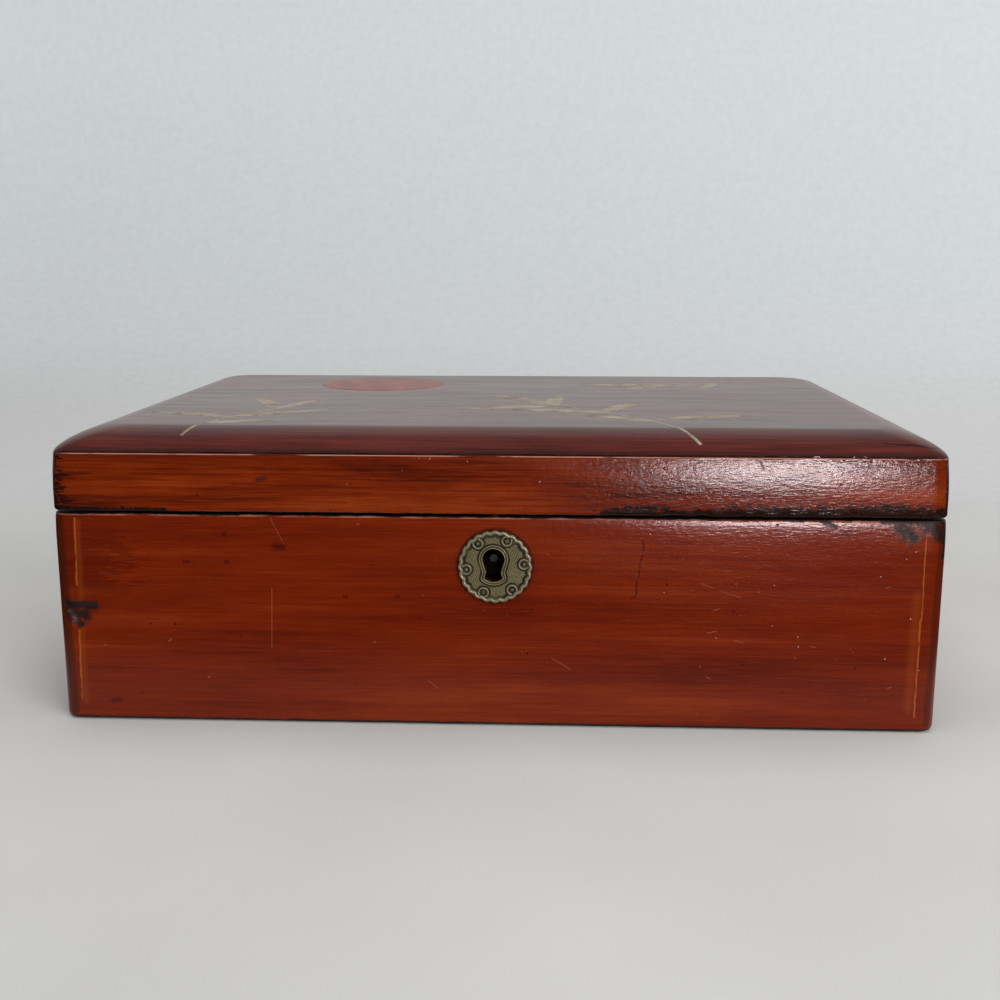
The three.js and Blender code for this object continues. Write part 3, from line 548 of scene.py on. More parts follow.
def red_shades(tree, place, run, shades, cloud_share, grain_share, fine, brush, grain):
    """The coat's colour, from patches as wide as brush marks down to single growth lines."""
    cloud = stretched(tree, place, run, 14 * mm, 60 * mm, Detail=4.0, Roughness=0.6)
    streak = stretched(tree, place, run, 0.5 * mm, 14 * mm, Detail=3.0, Roughness=0.7)
    tone = summed(tree, [(brush, brush_share), (cloud, cloud_share), (grain, grain_share)])
    middle = (brush_share + cloud_share + grain_share) / 2
    stops = [(middle + step, shade) for step, shade in zip(shade_steps, shades)]
    colour = add(tree, "ValToRGB", {0: tone}, stops=stops)
    streaked = add(tree, "MapRange", {0: streak, 1: 0.54, 2: 0.68}, **soft_step)
    thick = add(tree, "MapRange", {0: brush, 1: 0.42, 2: 0.62}, **soft_step)
    lit = add(tree, "MapRange", {0: fine, 1: 0.45, 2: 0.75}, **soft_step)
    layers = [((streaked, thick), 0.2 + grain_share, shades[0]), ((lit,), 0.1 + grain_share, shades[3])]
    return coats(tree, colour, layers)


def red_lacquer(name, run, shades, cloud_share, grain_share, crinkling, front_marks=None):
    """Red lacquer over wood whose grain runs along X (0) or Y (1), in shades from dark to light."""
    material, tree, surface, place = start_material(name)
    grained = {"Detail": 5.0, "Roughness": 0.62, "Distortion": 0.25}
    grain = stretched(tree, place, run, grain_pitch, grain_length, **grained)
    brush = stretched(tree, place, run, brush_width, brush_length, Detail=3.0, Roughness=0.6)
    fine = stretched(tree, place, run, grain_pitch / 2, 12 * mm, Detail=2.0)
    colour = red_shades(tree, place, run, shades, cloud_share, grain_share, fine, brush, grain)
    prick_away = add(tree, "TexVoronoi", {"Vector": place, "Scale": 1 / prick_spacing}, out="Distance")
    pricks = add(tree, "MapRange", {0: prick_away, 1: 0.055, 2: 0.03}, **soft_step)
    colour = coats(tree, colour, [((pricks,), 0.8, knot_maroon)])

    ragged = wavering(tree, place, 0.5, 4)
    ragged_z = add(tree, "SeparateXYZ", {0: ragged}, out="Z")
    seam_black = stripe(tree, ragged_z, seam_z, 0.45 * mm, 0.9 * mm)
    foot_black = add(tree, "MapRange", {0: ragged_z, 1: 1.5 * mm, 2: 0.8 * mm}, **soft_step)
    black = add(tree, "Math", {0: seam_black, 1: foot_black}, operation="MAXIMUM")
    dull = add(tree, "Math", {0: pricks, 1: 0.1}, operation="MULTIPLY")
    if front_marks:
        colour, black, dull = front_marks(tree, place, ragged, colour, black)
    colour = coats(tree, colour, [((black,), 1.0, rim_black)])

    peel = add(tree, "TexNoise", {"Vector": place, "Scale": 1 / dimple, "Detail": 2.0, "Roughness": 0.5})
    swell = add(tree, "TexNoise", {"Vector": place, "Scale": 1 / swell_size, "Detail": 1.0})
    crinkle = stretched(tree, place, run, 0.55 * mm, 2.4 * mm, Detail=3.0)
    nib_away = add(tree, "TexVoronoi", {"Vector": place, "Scale": 1 / nib_spacing}, out="Distance")
    nibs = add(tree, "MapRange", {0: nib_away, 1: 0.11, 2: 0.0}, **soft_step)
    parts = [(grain, 0.35), (fine, 0.2), (peel, 1.0), (swell, 1.3), (crinkle, crinkling), (nibs, 2.2)]
    bump = add(tree, "Bump", {"Strength": 1.0, "Distance": relief_depth, "Height": summed(tree, parts)})
    sheen = add(tree, "MapRange", {0: brush, 1: 0.3, 2: 0.7, 3: 0.13, 4: 0.2})
    gloss = add(tree, "Math", {0: sheen, 1: dull}, operation="ADD", use_clamp=True)
    fill(tree, surface, {"Base Color": colour, "Roughness": gloss, "Normal": bump})
    fill(tree, surface, {"IOR": lacquer_index, "Specular IOR Level": 0.3})
    return material


print("the coat's relief is", round(relief_depth / mm, 3), "mm deep")

# %% Marks on the front of the body
plate_low, plate_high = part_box("keyhole_plate")
plate_x = (plate_low.x + plate_high.x) / 2
plate_z = (plate_low.z + plate_high.z) / 2
plate_radius = (plate_high.x - plate_low.x) / 2
# Height of the pale line along the rim: mostly a painted highlight, partly rubbed coat.
rim_highlight_and_wear_line = rim_z - 0.4 * mm


def body_front_marks(tree, place, ragged, colour, black):
    """What years of use have left on the front of the body, and painted light: shade down the rounded
    corners, a pale rim line that is mostly a painted highlight and partly rubbed coat, and a dark ring
    round the keyhole plate that is partly dirt and partly painted shadow.
    """
    across, depth, height = (add(tree, "SeparateXYZ", {0: place}, out=axis) for axis in "XYZ")
    front = front_only(tree, depth)
    flat = flattened(tree, place)
    rough_flat = flattened(tree, ragged)
    torn_flat = flattened(tree, wavering(tree, place, 0.8, 3))
    below_rim = add(tree, "MapRange", {0: height, 1: 66 * mm, 2: 56 * mm}, **soft_step)
    above_chip = add(tree, "MapRange", {0: height, 1: 36 * mm, 2: 46 * mm}, **soft_step)
    comb = toothed(tree, place, across, -114, 70)
    rim_highlight_and_wear_patches = stretched(tree, place, 0, 2 * mm, 10 * mm, Detail=3.0)
    rim_highlight_and_wear_patches = add(tree, "MapRange", {0: rim_highlight_and_wear_patches, 1: 0.42, 2: 0.58})
    # A dark ring round the keyhole plate: partly dirt, partly a painted shadow of the plate's edge.
    plate_middle = {0: rough_flat, 1: (plate_x, 0, plate_z)}
    plate_away = add(tree, "VectorMath", plate_middle, operation="DISTANCE", out="Value")
    dirt_and_shadow_reach = {1: plate_radius + 1 * mm, 2: plate_radius - 0.1 * mm}
    plate_dirt_and_shadow = add(tree, "MapRange", {0: plate_away, **dirt_and_shadow_reach}, **soft_step)
    speckle = add(tree, "TexNoise", {"Vector": place, "Scale": 1 / (4 * mm), "Detail": 4.0})
    broken = add(tree, "MapRange", {0: speckle, 1: 0.26, 2: 0.5}, **soft_step)
    # Black stains, with the painted shade down the right corner among them.
    stain_and_shade = eroded(tree, place, strokes(tree, torn_flat, body_black_and_corner_shade, 1.5), front)
    layers = [
        ((comb, below_rim, above_chip, front), 0.4, knot_maroon),
        # Painted shade down the rounded corners.
        ((strokes(tree, rough_flat, body_corner_shade, soft=0.5), front), 0.7, "#3d1508"),
        ((strokes(tree, rough_flat, body_glow), front), 0.3, "#8a3c0e"),
        ((strokes(tree, rough_flat, body_worn, soft=0.9), front, broken), 0.7, ground_orange),
        # Mostly a painted highlight along the rim's rounded edge, partly rubbed coat.
        ((stripe(tree, height, rim_highlight_and_wear_line, 0.15 * mm, 0.5 * mm), rim_highlight_and_wear_patches), 0.5, "#b07864"),
        ((strokes(tree, flat, body_scratches, soft=0.8), front), 0.16, bared_wood),
        # Dirt and painted shadow round the keyhole plate.
        ((plate_dirt_and_shadow, front), 0.75, "#2a0d06"),
        ((strokes(tree, rough_flat, body_dark, 1.2), front), 0.75, knot_maroon),
    ]
    stain_and_shade_cover = add(tree, "Math", {0: stain_and_shade, 1: 0.92}, operation="MULTIPLY")
    black = add(tree, "Math", {0: black, 1: stain_and_shade_cover}, operation="MAXIMUM")
    dull = add(tree, "Math", {0: stain_and_shade, 1: 0.28}, operation="MULTIPLY")
    return coats(tree, colour, layers), black, dull


body_shades = ("#541203", "#621803", "#6a1c02", "#772706")
body_coat = (body_shades, 0.34, 0.3, 1.2)
body_front_red = red_lacquer("red_lacquer_body_front", 0, *body_coat, body_front_marks)
body_long_red = red_lacquer("red_lacquer_body_back", 0, *body_coat)
body_side_red = red_lacquer("red_lacquer_body_side", 1, *body_coat)
print("red lacquer:", len(body_front_red.node_tree.nodes), "nodes with its marks")

# %% [markdown]
# The lid's walls were cut from wood with a stronger grain, and their coats have worn thinner, so
# they are more orange, with brown growth lines. Their lower edge at the front is chipped, and the
# rim's black shows there in a band that widens to the right.

# %% Lid walls
crown_edge = 1.0 * mm
arris_z = crown_low.z + crown_edge
lid_shades = ("#3c0e05", "#591703", "#6d2003", "#80300a")
# Black of the rim's coat along the lower edge, and one stroke down the right corner that is painted shade.
lid_black_and_corner_shade = [
    ((34.0, 67.5), (70.0, 67.8), 2.0),
    ((70.0, 68.1), (136.0, 68.2), 2.9),
    ((36.0, 69.4), (52.0, 69.8), 0.8),
    ((-134.0, 67.6), (-100.0, 67.2), 1.2),
    ((110.0, 70.0), (122.0, 70.4), 1.3),
    # Painted shade down the right corner, where it turns away from the light.
    ((134.8, 84.0), (135.4, 68.0), 1.0),
]
lid_streaks = [
    ((79.3, 84.3), (80.4, 81.8), 0.45),
    ((43.5, 82.2), (45.6, 81.0), 0.5),
    ((46.8, 80.2), (48.4, 79.0), 0.5),
    ((44.2, 77.4), (45.2, 76.0), 0.5),
    ((50.2, 78.6), (50.8, 78.2), 0.5),
    ((58.6, 79.3), (59.1, 79.1), 0.7),
    ((-71.0, 77.6), (-69.0, 78.0), 1.1),
    ((108.0, 82.6), (117.0, 82.8), 0.3),
    ((112.0, 79.4), (121.0, 79.0), 0.25),
]


def lid_front_marks(tree, place, ragged, colour, black):
    """Chips, rubbed ends, dents and a darker top along the front of the lid, a pale arris line that is
    mostly a painted highlight and partly rubbed coat, and painted shade down the right corner.
    """
    across, depth, height = (add(tree, "SeparateXYZ", {0: place}, out=axis) for axis in "XYZ")
    front = front_only(tree, depth)
    rough_flat = flattened(tree, ragged)
    end = add(tree, "Math", {0: across}, operation="ABSOLUTE")
    end_glow = add(tree, "MapRange", {0: end, 1: 129 * mm, 2: 132.5 * mm}, **soft_step)
    top_shade = add(tree, "MapRange", {0: height, 1: 77.5 * mm, 2: 84.5 * mm}, **soft_step)
    arris_highlight_and_wear_patches = stretched(tree, place, 0, 3 * mm, 9 * mm, Detail=3.0)
    arris_highlight_and_wear_patches = add(tree, "MapRange", {0: arris_highlight_and_wear_patches, 1: 0.34, 2: 0.5}, **soft_step)
    stain_and_shade = eroded(tree, place, strokes(tree, rough_flat, lid_black_and_corner_shade, 1.7), front)
    dark = strokes(tree, rough_flat, lid_streaks, 1.2)
    layers = [
        ((top_shade,), 0.25, lid_shades[0]),
        ((end_glow, front), 0.45, "#6a2408"),
        ((toothed(tree, place, across, -131.5, 32), front), 0.88, "#1d0a06"),
        ((dark, front), 0.7, "#1d0a06"),
        # Mostly a painted highlight along the arris, partly rubbed coat.
        ((stripe(tree, height, arris_z, 0.25 * mm, 0.5 * mm), arris_highlight_and_wear_patches), 0.7, "#bd8272"),
    ]
    stain_and_shade_cover = add(tree, "Math", {0: stain_and_shade, 1: 0.95}, operation="MULTIPLY")
    black = add(tree, "Math", {0: black, 1: stain_and_shade_cover}, operation="MAXIMUM")
    dull = add(tree, "Math", {0: dark, 1: 0.2}, operation="MULTIPLY")
    return coats(tree, colour, layers), black, dull


lid_coat = (lid_shades, 0.45, 0.35, 1.5)
lid_front_red = red_lacquer("red_lacquer_lid_front", 0, *lid_coat, lid_front_marks)
lid_long_red = red_lacquer("red_lacquer_lid_back", 0, *lid_coat)
lid_side_red = red_lacquer("red_lacquer_lid_side", 1, *lid_coat)
print("lid reds:", lid_shades)

# %% [markdown]
# The crowned top has a darker, browner coat than the walls, rubbed smooth, so that at a low angle
# it mirrors the room. A crack runs along its slope into the front right corner. Inside, the box is
# plain black lacquer, a little duller. Underneath, only a thin dark coat was wiped on, and the
# wood's pores stay open.

# %% Smooth lacquers
def smooth_lacquer(name, shades, roughness, specular, relief, marks=None):
    """A rubbed coat in three shades. The relief is in millimetres."""
    material, tree, surface, place = start_material(name)
    grain = stretched(tree, place, 0, 1.1 * mm, 60 * mm, Detail=4.0, Roughness=0.6)
    cloud = stretched(tree, place, 0, 22 * mm, 60 * mm, Detail=3.0)
    tone = summed(tree, [(grain, 0.4), (cloud, 0.6)])
    colour = add(tree, "ValToRGB", {0: tone}, stops=list(zip((0.38, 0.5, 0.62), shades)))
    if marks:
        colour = marks(tree, place, colour)
    rubbed = stretched(tree, place, 0, 5 * mm, 30 * mm, Detail=3.0)
    span = {1: 0.3, 2: 0.7, 3: roughness * 0.85, 4: roughness * 1.2}
    gloss = add(tree, "MapRange", {0: rubbed, **span})
    peel = add(tree, "TexNoise", {"Vector": place, "Scale": 1 / (3 * mm), "Detail": 2.0})
    rise = summed(tree, [(peel, 1.0), (grain, 0.5)])
    bump = add(tree, "Bump", {"Strength": 1.0, "Distance": relief * mm, "Height": rise})
    fill(tree, surface, {"Base Color": colour, "Roughness": gloss, "Normal": bump})
    fill(tree, surface, {"IOR": lacquer_index, "Specular IOR Level": specular})
    return material


inside_black = smooth_lacquer("black_lacquer_inside", ("#0c0a0a", "#131010", "#1b1615"), 0.26, 0.4, 0.02)
underside_shades = ("#1d130f", "#2c1d16", "#3b2a1f")
underside_brown = smooth_lacquer("brown_wash_underside", underside_shades, 0.5, 0.25, 0.05)
print("under the box:", underside_shades)

# %% Marks of the crown
crown_cracks = [
    ((116.0, 89.1), (120.5, 88.9), 0.2),
    ((120.5, 88.9), (126.5, 88.4), 0.3),
    ((126.5, 88.4), (134.0, 87.5), 0.34),
]


def crown_marks(tree, place, colour):
    """Redder streaks where the slope is rubbed, painted shade along its foot, and a crack."""
    across, depth, height = (add(tree, "SeparateXYZ", {0: place}, out=axis) for axis in "XYZ")
    slope_top, slope_full = crown_high.z - 0.5 * mm, crown_high.z - 1.6 * mm
    slope = add(tree, "MapRange", {0: height, 1: slope_top, 2: slope_full}, **soft_step)
    end = add(tree, "Math", {0: across}, operation="ABSOLUTE")
    inner = add(tree, "MapRange", {0: end, 1: 130 * mm, 2: 118 * mm}, **soft_step)
    streak = stretched(tree, place, 0, grain_pitch, 35 * mm, Detail=3.0, Roughness=0.65)
    rubbed = add(tree, "MapRange", {0: streak, 1: 0.5, 2: 0.66}, **soft_step)
    darkened = add(tree, "MapRange", {0: streak, 1: 0.46, 2: 0.36}, **soft_step)
    # Painted shade along the foot of the slope, just above the arris.
    foot_top, foot_full = crown_low.z + 3.4 * mm, crown_low.z + 1.4 * mm
    foot = add(tree, "MapRange", {0: height, 1: foot_top, 2: foot_full}, **soft_step)
    front = add(tree, "MapRange", {0: depth, 1: -70 * mm, 2: -76 * mm})
    cracked = strokes(tree, flattened(tree, wavering(tree, place, 0.35, 6)), crown_cracks, soft=0.6)
    layers = [
        ((rubbed, slope, inner), 0.45, "#6a2219"),
        ((darkened, slope, inner), 0.4, "#1d0605"),
        ((foot,), 0.75, "#170504"),
        ((cracked, front), 0.9, "#120405"),
    ]
    return coats(tree, colour, layers)


crown_shades = ("#3c120e", "#481812", "#541f18")
crown_maroon = smooth_lacquer("maroon_lacquer_crown", crown_shades, 0.2, 0.5, 0.02, crown_marks)
print("lacquers:", [m.name for m in bpy.data.materials if "lacquer" in m.name])

# %% [markdown]
# ## Outline of the box
# All walls follow one outline: a rectangle with rounded corners. Each sample on it knows the corner
# circle that it belongs to and the angle there, so the same samples can be drawn at any inset and
# any corner radius. The front is sampled every millimetre, because it is looked at most closely.

# %% Samples round the box
corner_radius, least_radius = 5 * mm, 0.5 * mm
front_step, other_step = 1.0 * mm, 2.5 * mm
corner_steps = 10


def outline_samples():
    """For each sample its place across and along the box, from -1 to 1, and its angle."""
    sides = [
        (0, -1, -90, half_width, front_step),
        (1, 0, 0, half_depth, other_step),
        (0, 1, 90, half_width, other_step),
        (-1, 0, 180, half_depth, other_step),
    ]
    rows = []
    for towards_x, towards_y, angle, half, step in sides:
        samples = [(t, angle) for t in np.linspace(-1, 1, int(2 * half / step) + 1)]
        samples += [(1, angle + 90 * i / corner_steps) for i in range(1, corner_steps)]
        rows += [(towards_x - towards_y * t, towards_y + towards_x * t, a) for t, a in samples]
    table = np.array(rows, float)
    return table[:, 0], table[:, 1], np.radians(table[:, 2])


across, along, turn = outline_samples()
sample_count = len(turn)
print(sample_count, "samples round the box")

# %% Rings and unevenness
def ring(inset, z, radius=None):
    """The outline drawn in by an inset, at a height. Each may be one number or one for each sample."""
    inset = np.broadcast_to(inset, sample_count).astype(float)
    if radius is None:
        radius = np.maximum(corner_radius - inset, least_radius)
    x = across * (half_width - inset - radius) + radius * np.cos(turn)
    y = along * (half_depth - inset - radius) + radius * np.sin(turn)
    return np.column_stack([x, y, np.broadcast_to(z, sample_count)])


def unevenness(points, size, seed):
    """Smooth seeded noise from about -1 to 1 at each point, in patches of a size in millimetres."""
    shift = Vector((17.3, 5.1, 29.7)) * seed
    return np.array([noise.noise(Vector(p) / (size * mm) + shift) for p in points])


def quarter(steps):
    """The angles of a quarter turn."""
    return [i / steps * math.pi / 2 for i in range(steps + 1)]


print("corner at rest", [round(v / mm, 2) for v in ring(0, 0)[0]])

# %% Solids from points
def solid(name, points, faces):
    """A new object with a mesh of its own."""
    mesh = bpy.data.meshes.new(name)
    mesh.from_pydata([tuple(p) for p in points], [], faces)
    thing = bpy.data.objects.new(name, mesh)
    scene.collection.objects.link(thing)
    return thing


def bands(starts, count):
    """Faces that join each ring to the next. A ring is known by the number of its first point."""
    faces = []
    for low, high in zip(starts, starts[1:]):
        for i in range(count):
            j = (i + 1) % count
            faces.append((low + i, low + j, high + j, high + i))
    return faces


def skin(name, rings):
    """A closed solid skinned over rings, from the lowest up."""
    count = len(rings[0])
    starts = [r * count for r in range(len(rings))]
    bottom = tuple(reversed(range(count)))
    top = tuple(range(starts[-1], starts[-1] + count))
    return solid(name, np.vstack(rings), [*bands(starts, count), bottom, top])


print("a wall's ring of points takes", len(bands([0, sample_count], sample_count)), "faces to the next")

# %% [markdown]
# ## Walls of the body
# A plane leaves the boards almost flat, and years of damp and drying do the rest, so the walls are
# given a slow unevenness of a tenth of a millimetre that only a reflection shows. The top 9 mm
# lean in slightly. The foot is rounded over, the rim's edge is softened, and at the left front
# corner a splinter has broken out, which is cut here as a wedge almost a millimetre deep.

# %% Form of the body's walls
foot_rounding, rim_rounding = 2.0 * mm, 0.8 * mm
lean_height, lean = 9 * mm, 0.32 * mm
chip_top, chip_bottom = 39.2 * mm, 30.6 * mm
chip_x, chip_depth = -128.6 * mm, 0.8 * mm


def wall_inset(points):
    """How far the wall lies inside its plane: slow unevenness, and the lean below the rim."""
    lean_share = np.clip((points[:, 2] - (rim_z - lean_height)) / lean_height, 0, 1)
    return 0.05 * mm * (1 + unevenness(points, 38, 1)) + lean * lean_share**2


def splinter(points):
    """The broken wedge at the left front corner."""
    x, y, z = points[:, 0], points[:, 1], points[:, 2]
    ragged = 1.5 * mm * unevenness(points, 2.6, 5)
    side = chip_bottom + np.abs(x - chip_x) * 1.05 + ragged
    edge = np.minimum(chip_top - np.abs(x - chip_x) * 0.35 + ragged - z, z - side)
    return chip_depth * np.clip(edge / (0.9 * mm), 0, 1) * (y < -half_depth + 4 * mm) * (x < 0)


def body_form():
    """Rings from the foot to the rim, closest together at the splinter and below the rim."""
    spans = [
        (3.5, chip_bottom / mm - 1.5, 2.6),
        (chip_bottom / mm - 1.2, chip_top / mm + 1.6, 0.8),
        (chip_top / mm + 3.5, rim_z / mm - 9, 2.6),
        (rim_z / mm - 8.5, rim_z / mm - 1.0, 1.1),
    ]
    rings = []
    worn = 1 + 0.18 * unevenness(ring(0, 0), 9, 2)
    for a in quarter(6):
        z = foot_rounding * (1 - math.cos(a))
        rings.append(ring(foot_rounding * (1 - math.sin(a)) * worn + wall_inset(ring(0, z)), z))
    for z in np.concatenate([np.arange(*span) for span in spans]) * mm:
        level = ring(0, z)
        rings.append(ring(wall_inset(level) + splinter(level), z))
    rim = ring(0, rim_z)
    nicks = np.clip(unevenness(rim, 5, 3) - 0.28, 0, 1)
    worn = 1 + 0.35 * unevenness(rim, 6, 4) + 1.3 * nicks
    for a in reversed(quarter(5)):
        inset = rim_rounding * (1 - math.sin(a)) * worn + wall_inset(rim)
        rings.append(ring(inset, rim_z - rim_rounding * (1 - math.cos(a))))
    return skin("body_form", rings)


walls_of_body = body_form()
print("body form", len(walls_of_body.data.polygons), "faces")

# %% [markdown]
# ## Walls of the lid
# The lid's walls stand upright for a third of their height and then bow inwards to the crown, which
# is what gives the front of the lid its long soft highlight. Along the lower edge, most of all at
# the front right, small chips have come away.

# %% Form of the lid's walls
lid_bow = 0.7 * mm
lid_upright = 0.3
lid_rail_top = crown_low.z - 0.02 * mm


def lid_inset(points):
    """How far the lid's wall lies inside its plane: slow unevenness, and its bow."""
    share = (points[:, 2] - lid_z) / (crown_low.z - lid_z)
    bow_share = np.clip((share - lid_upright) / (1 - lid_upright), 0, 1)
    return 0.04 * mm * (1 + unevenness(points, 30, 7)) + lid_bow * bow_share**2


def lid_chips(points):
    """Chips along the lower edge, more of them at the front right."""
    x, y, z = points[:, 0], points[:, 1], points[:, 2]
    right = np.clip((x - 30 * mm) / (30 * mm), 0, 1) * (y < -half_depth + 2 * mm)
    reach = (0.7 + 1.1 * right) * mm
    closeness = np.clip(1 - (z - lid_z) / reach, 0, 1)
    gone = np.clip(0.5 + unevenness(points, 3.5, 8) * 1.6, 0, 1.4)
    return (0.12 + 0.4 * right) * mm * closeness * gone


def lid_form():
    """Rings from the lid's lower edge to the crown."""
    rings = []
    worn = 1 + 0.3 * unevenness(ring(0, lid_z), 6, 9)
    for a in quarter(5):
        z = lid_z + rim_rounding * (1 - math.cos(a))
        level = ring(0, z)
        rounded = rim_rounding * (1 - math.sin(a)) * worn
        rings.append(ring(rounded + lid_inset(level) + lid_chips(level), z))
    for z in np.arange(lid_z / mm + 1.3, lid_rail_top / mm - 0.6, 1.0) * mm:
        level = ring(0, z)
        rings.append(ring(lid_inset(level) + lid_chips(level), z))
    rings.append(ring(lid_inset(ring(0, lid_rail_top)), lid_rail_top))
    return skin("lid_form", rings)


walls_of_lid = lid_form()
print("lid form", len(walls_of_lid.data.polygons), "faces")

# %% [markdown]
# ## Crowned top
# The top board stands on the lid's walls with a thin upright edge, then rises in a curve to an
# almost flat field. Its section is a power curve, which is fuller than a straight slope and
# flatter than an ellipse. The edge between wall and crown is rubbed in places.

# %% Form of the crown
crown_inset = 15 * mm
crown_corner = 9 * mm
crown_power = 1.5
crown_sink = 0.12 * mm
crown_steps = 22
arris_wear = 0.22 * mm
field_dip = 0.07 * mm
field_insets = (17, 20, 24, 30, 38, 48, 60, 74, 88)


def crown_form():
    """Rings up the thin edge, over the rubbed arris, up the curve and in over the field."""
    rise = crown_high.z - arris_z - crown_sink
    base = lid_inset(ring(0, crown_low.z))
    arris = ring(0, arris_z)
    worn = 1.1 + unevenness(arris, 7, 11) + 0.6 * unevenness(arris, 2.5, 12)
    rubbed = np.maximum(arris_wear * worn, 0.05 * mm)
    rings = [ring(base, crown_low.z), ring(base, arris_z - 0.35 * mm)]
    rings.append(ring(base + rubbed * 0.35, arris_z - 0.08 * mm))
    rings.append(ring(base + rubbed + 0.12 * mm, arris_z + 0.22 * mm))
    for a in quarter(crown_steps)[2:]:
        inward = 1 - max(math.cos(a), 0) ** (2 / crown_power)
        upward = math.sin(a) ** (2 / crown_power)
        radius = corner_radius + (crown_corner - corner_radius) * inward
        z = arris_z + rise * upward
        level = ring(crown_inset * inward, z, radius)
        dip = field_dip * (1 + unevenness(level, 26, 13)) * inward
        rings.append(ring(crown_inset * inward + base * (1 - inward), z - dip, radius))
    for inset in field_insets:
        radius = max(crown_corner - (inset - crown_inset / mm) * 0.1 * mm, 2 * mm)
        level = ring(inset * mm, arris_z + rise, radius)
        dip = field_dip * (1 + unevenness(level, 26, 13))
        if inset == field_insets[-1]:
            dip = field_dip
        rings.append(ring(inset * mm, arris_z + rise - dip, radius))
    return skin("crown_form", rings)


crown = crown_form()
print("crown", len(crown.data.polygons), "faces")

# %% [markdown]
# ## Cutting the boards
# Each board is cut from its form as a joiner would cut it: kept between two planes, then housed,
# rebated and mortised for its neighbours. The tools are blocks, and outlines run along an axis. A
# boolean modifier does each cut, and the finished mesh is taken from the last one.

# %% Cutting tools
clearance = 0.15 * mm
joint_gap = 0.02 * mm
past = 1 * mm
cutters = []


def block(low, high):
    """A tool that fills the space between two corners."""
    points = [(x, y, z) for x in (low[0], high[0]) for y in (low[1], high[1]) for z in (low[2], high[2])]
    faces = [(0, 1, 3, 2), (4, 6, 7, 5), (0, 4, 5, 1), (2, 3, 7, 6), (0, 2, 6, 4), (1, 5, 7, 3)]
    cutters.append(solid("block", points, faces))
    return cutters[-1]


def straighten(mesh):
    """Turns all faces outwards."""
    work = bmesh.new()
    work.from_mesh(mesh)
    bmesh.ops.recalc_face_normals(work, faces=work.faces)
    work.to_mesh(mesh)
    work.free()


def prism(outline, axis, start, end):
    """A tool with an outline of pairs, in the two other axes in their order, run along an axis."""
    others = [i for i in range(3) if i != axis]
    points = []
    for position in (start, end):
        for pair in outline:
            point = [0.0, 0.0, 0.0]
            point[axis] = position
            point[others[0]], point[others[1]] = pair
            points.append(point)
    count = len(outline)
    faces = [tuple(range(count)), tuple(range(2 * count - 1, count - 1, -1))]
    faces += [(i, count + i, count + (i + 1) % count, (i + 1) % count) for i in range(count)]
    cutters.append(solid("prism", points, faces))
    straighten(cutters[-1].data)
    return cutters[-1]


def round_bar(axis, start, end, centre, radius, steps=48):
    """A round tool run along an axis."""
    turns = [2 * math.pi * i / steps for i in range(steps)]
    outline = [(centre[0] + radius * math.cos(a), centre[1] + radius * math.sin(a)) for a in turns]
    return prism(outline, axis, start, end)


print("clearance in the mortises", clearance / mm, "mm")

# %% Cut and join
def worked(name, blank, steps):
    """A copy of a blank, cut or joined with tools in turn."""
    work = bpy.data.objects.new(name, blank.data.copy())
    scene.collection.objects.link(work)
    for tool, operation in steps:
        modifier = work.modifiers.new("step", "BOOLEAN")
        modifier.object = tool
        modifier.operation = operation
        modifier.solver = "MANIFOLD"
    graph = bpy.context.evaluated_depsgraph_get()
    mesh = bpy.data.meshes.new_from_object(work.evaluated_get(graph))
    work.modifiers.clear()
    work.data = mesh
    mesh.name = name
    return work


def carve(name, blank, keep, cuts):
    """The part of a blank inside the block to keep, less the cuts."""
    return worked(name, blank, [(keep, "INTERSECT"), *((cut, "DIFFERENCE") for cut in cuts)])


print("boards are kept", past / mm, "mm past the planes that they are cut to")

# %% [markdown]
# ## Which finish goes where
# Each board is lacquered red outside and black inside and on the rim, and washed brown underneath.
# A face's own middle and direction say which of these it is. A finished piece takes the place of
# its plain solid and moves with the body or with the lid.

# %% Finish a board
skin_depth = 2.4 * mm
crisp_angle = math.radians(32)


def settle(piece, node, body, crisp=crisp_angle):
    """Smooths a piece but for its crisp edges, and puts it in the place of its solid."""
    piece.data.shade_smooth()
    piece.data.set_sharp_from_angle(angle=crisp)
    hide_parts(node)
    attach(piece, body)


def of_faces(mesh, measure):
    """A measure of every face, such as its center or its normal."""
    values = np.zeros(len(mesh.polygons) * 3)
    mesh.polygons.foreach_get(measure, values)
    return values.reshape(-1, 3)


def coat_faces(mesh, materials, index):
    """Gives a mesh its materials, and each face the one of its number."""
    mesh.materials.clear()
    for material in materials:
        mesh.materials.append(material)
    mesh.polygons.foreach_set("material_index", index.astype(np.int32))


def dress(board, node, body, outside, low_face, high_face):
    """Gives a board its finishes: outside, inside, and what its low and high faces have."""
    middles, ways = of_faces(board.data, "center"), of_faces(board.data, "normal")
    depth = np.minimum(half_width - np.abs(middles[:, 0]), half_depth - np.abs(middles[:, 1]))
    low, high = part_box(node)
    index = np.where(depth < skin_depth, 0, 1)
    index[(ways[:, 2] < -0.95) & (middles[:, 2] < low.z + 0.3 * mm)] = 2
    index[(ways[:, 2] > 0.95) & (middles[:, 2] > high.z - 0.3 * mm)] = 3
    coat_faces(board.data, (outside, inside_black, low_face, high_face), index)
    settle(board, node, body)
    print(node, len(index), "faces")


print("the outer finish goes", round(skin_depth / mm, 2), "mm deep")

# %% Joints of the walls
lip = half_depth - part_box("left_board")[1].y
housing_edge = half_width - wall
bottom_low, bottom_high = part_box("bottom_board")


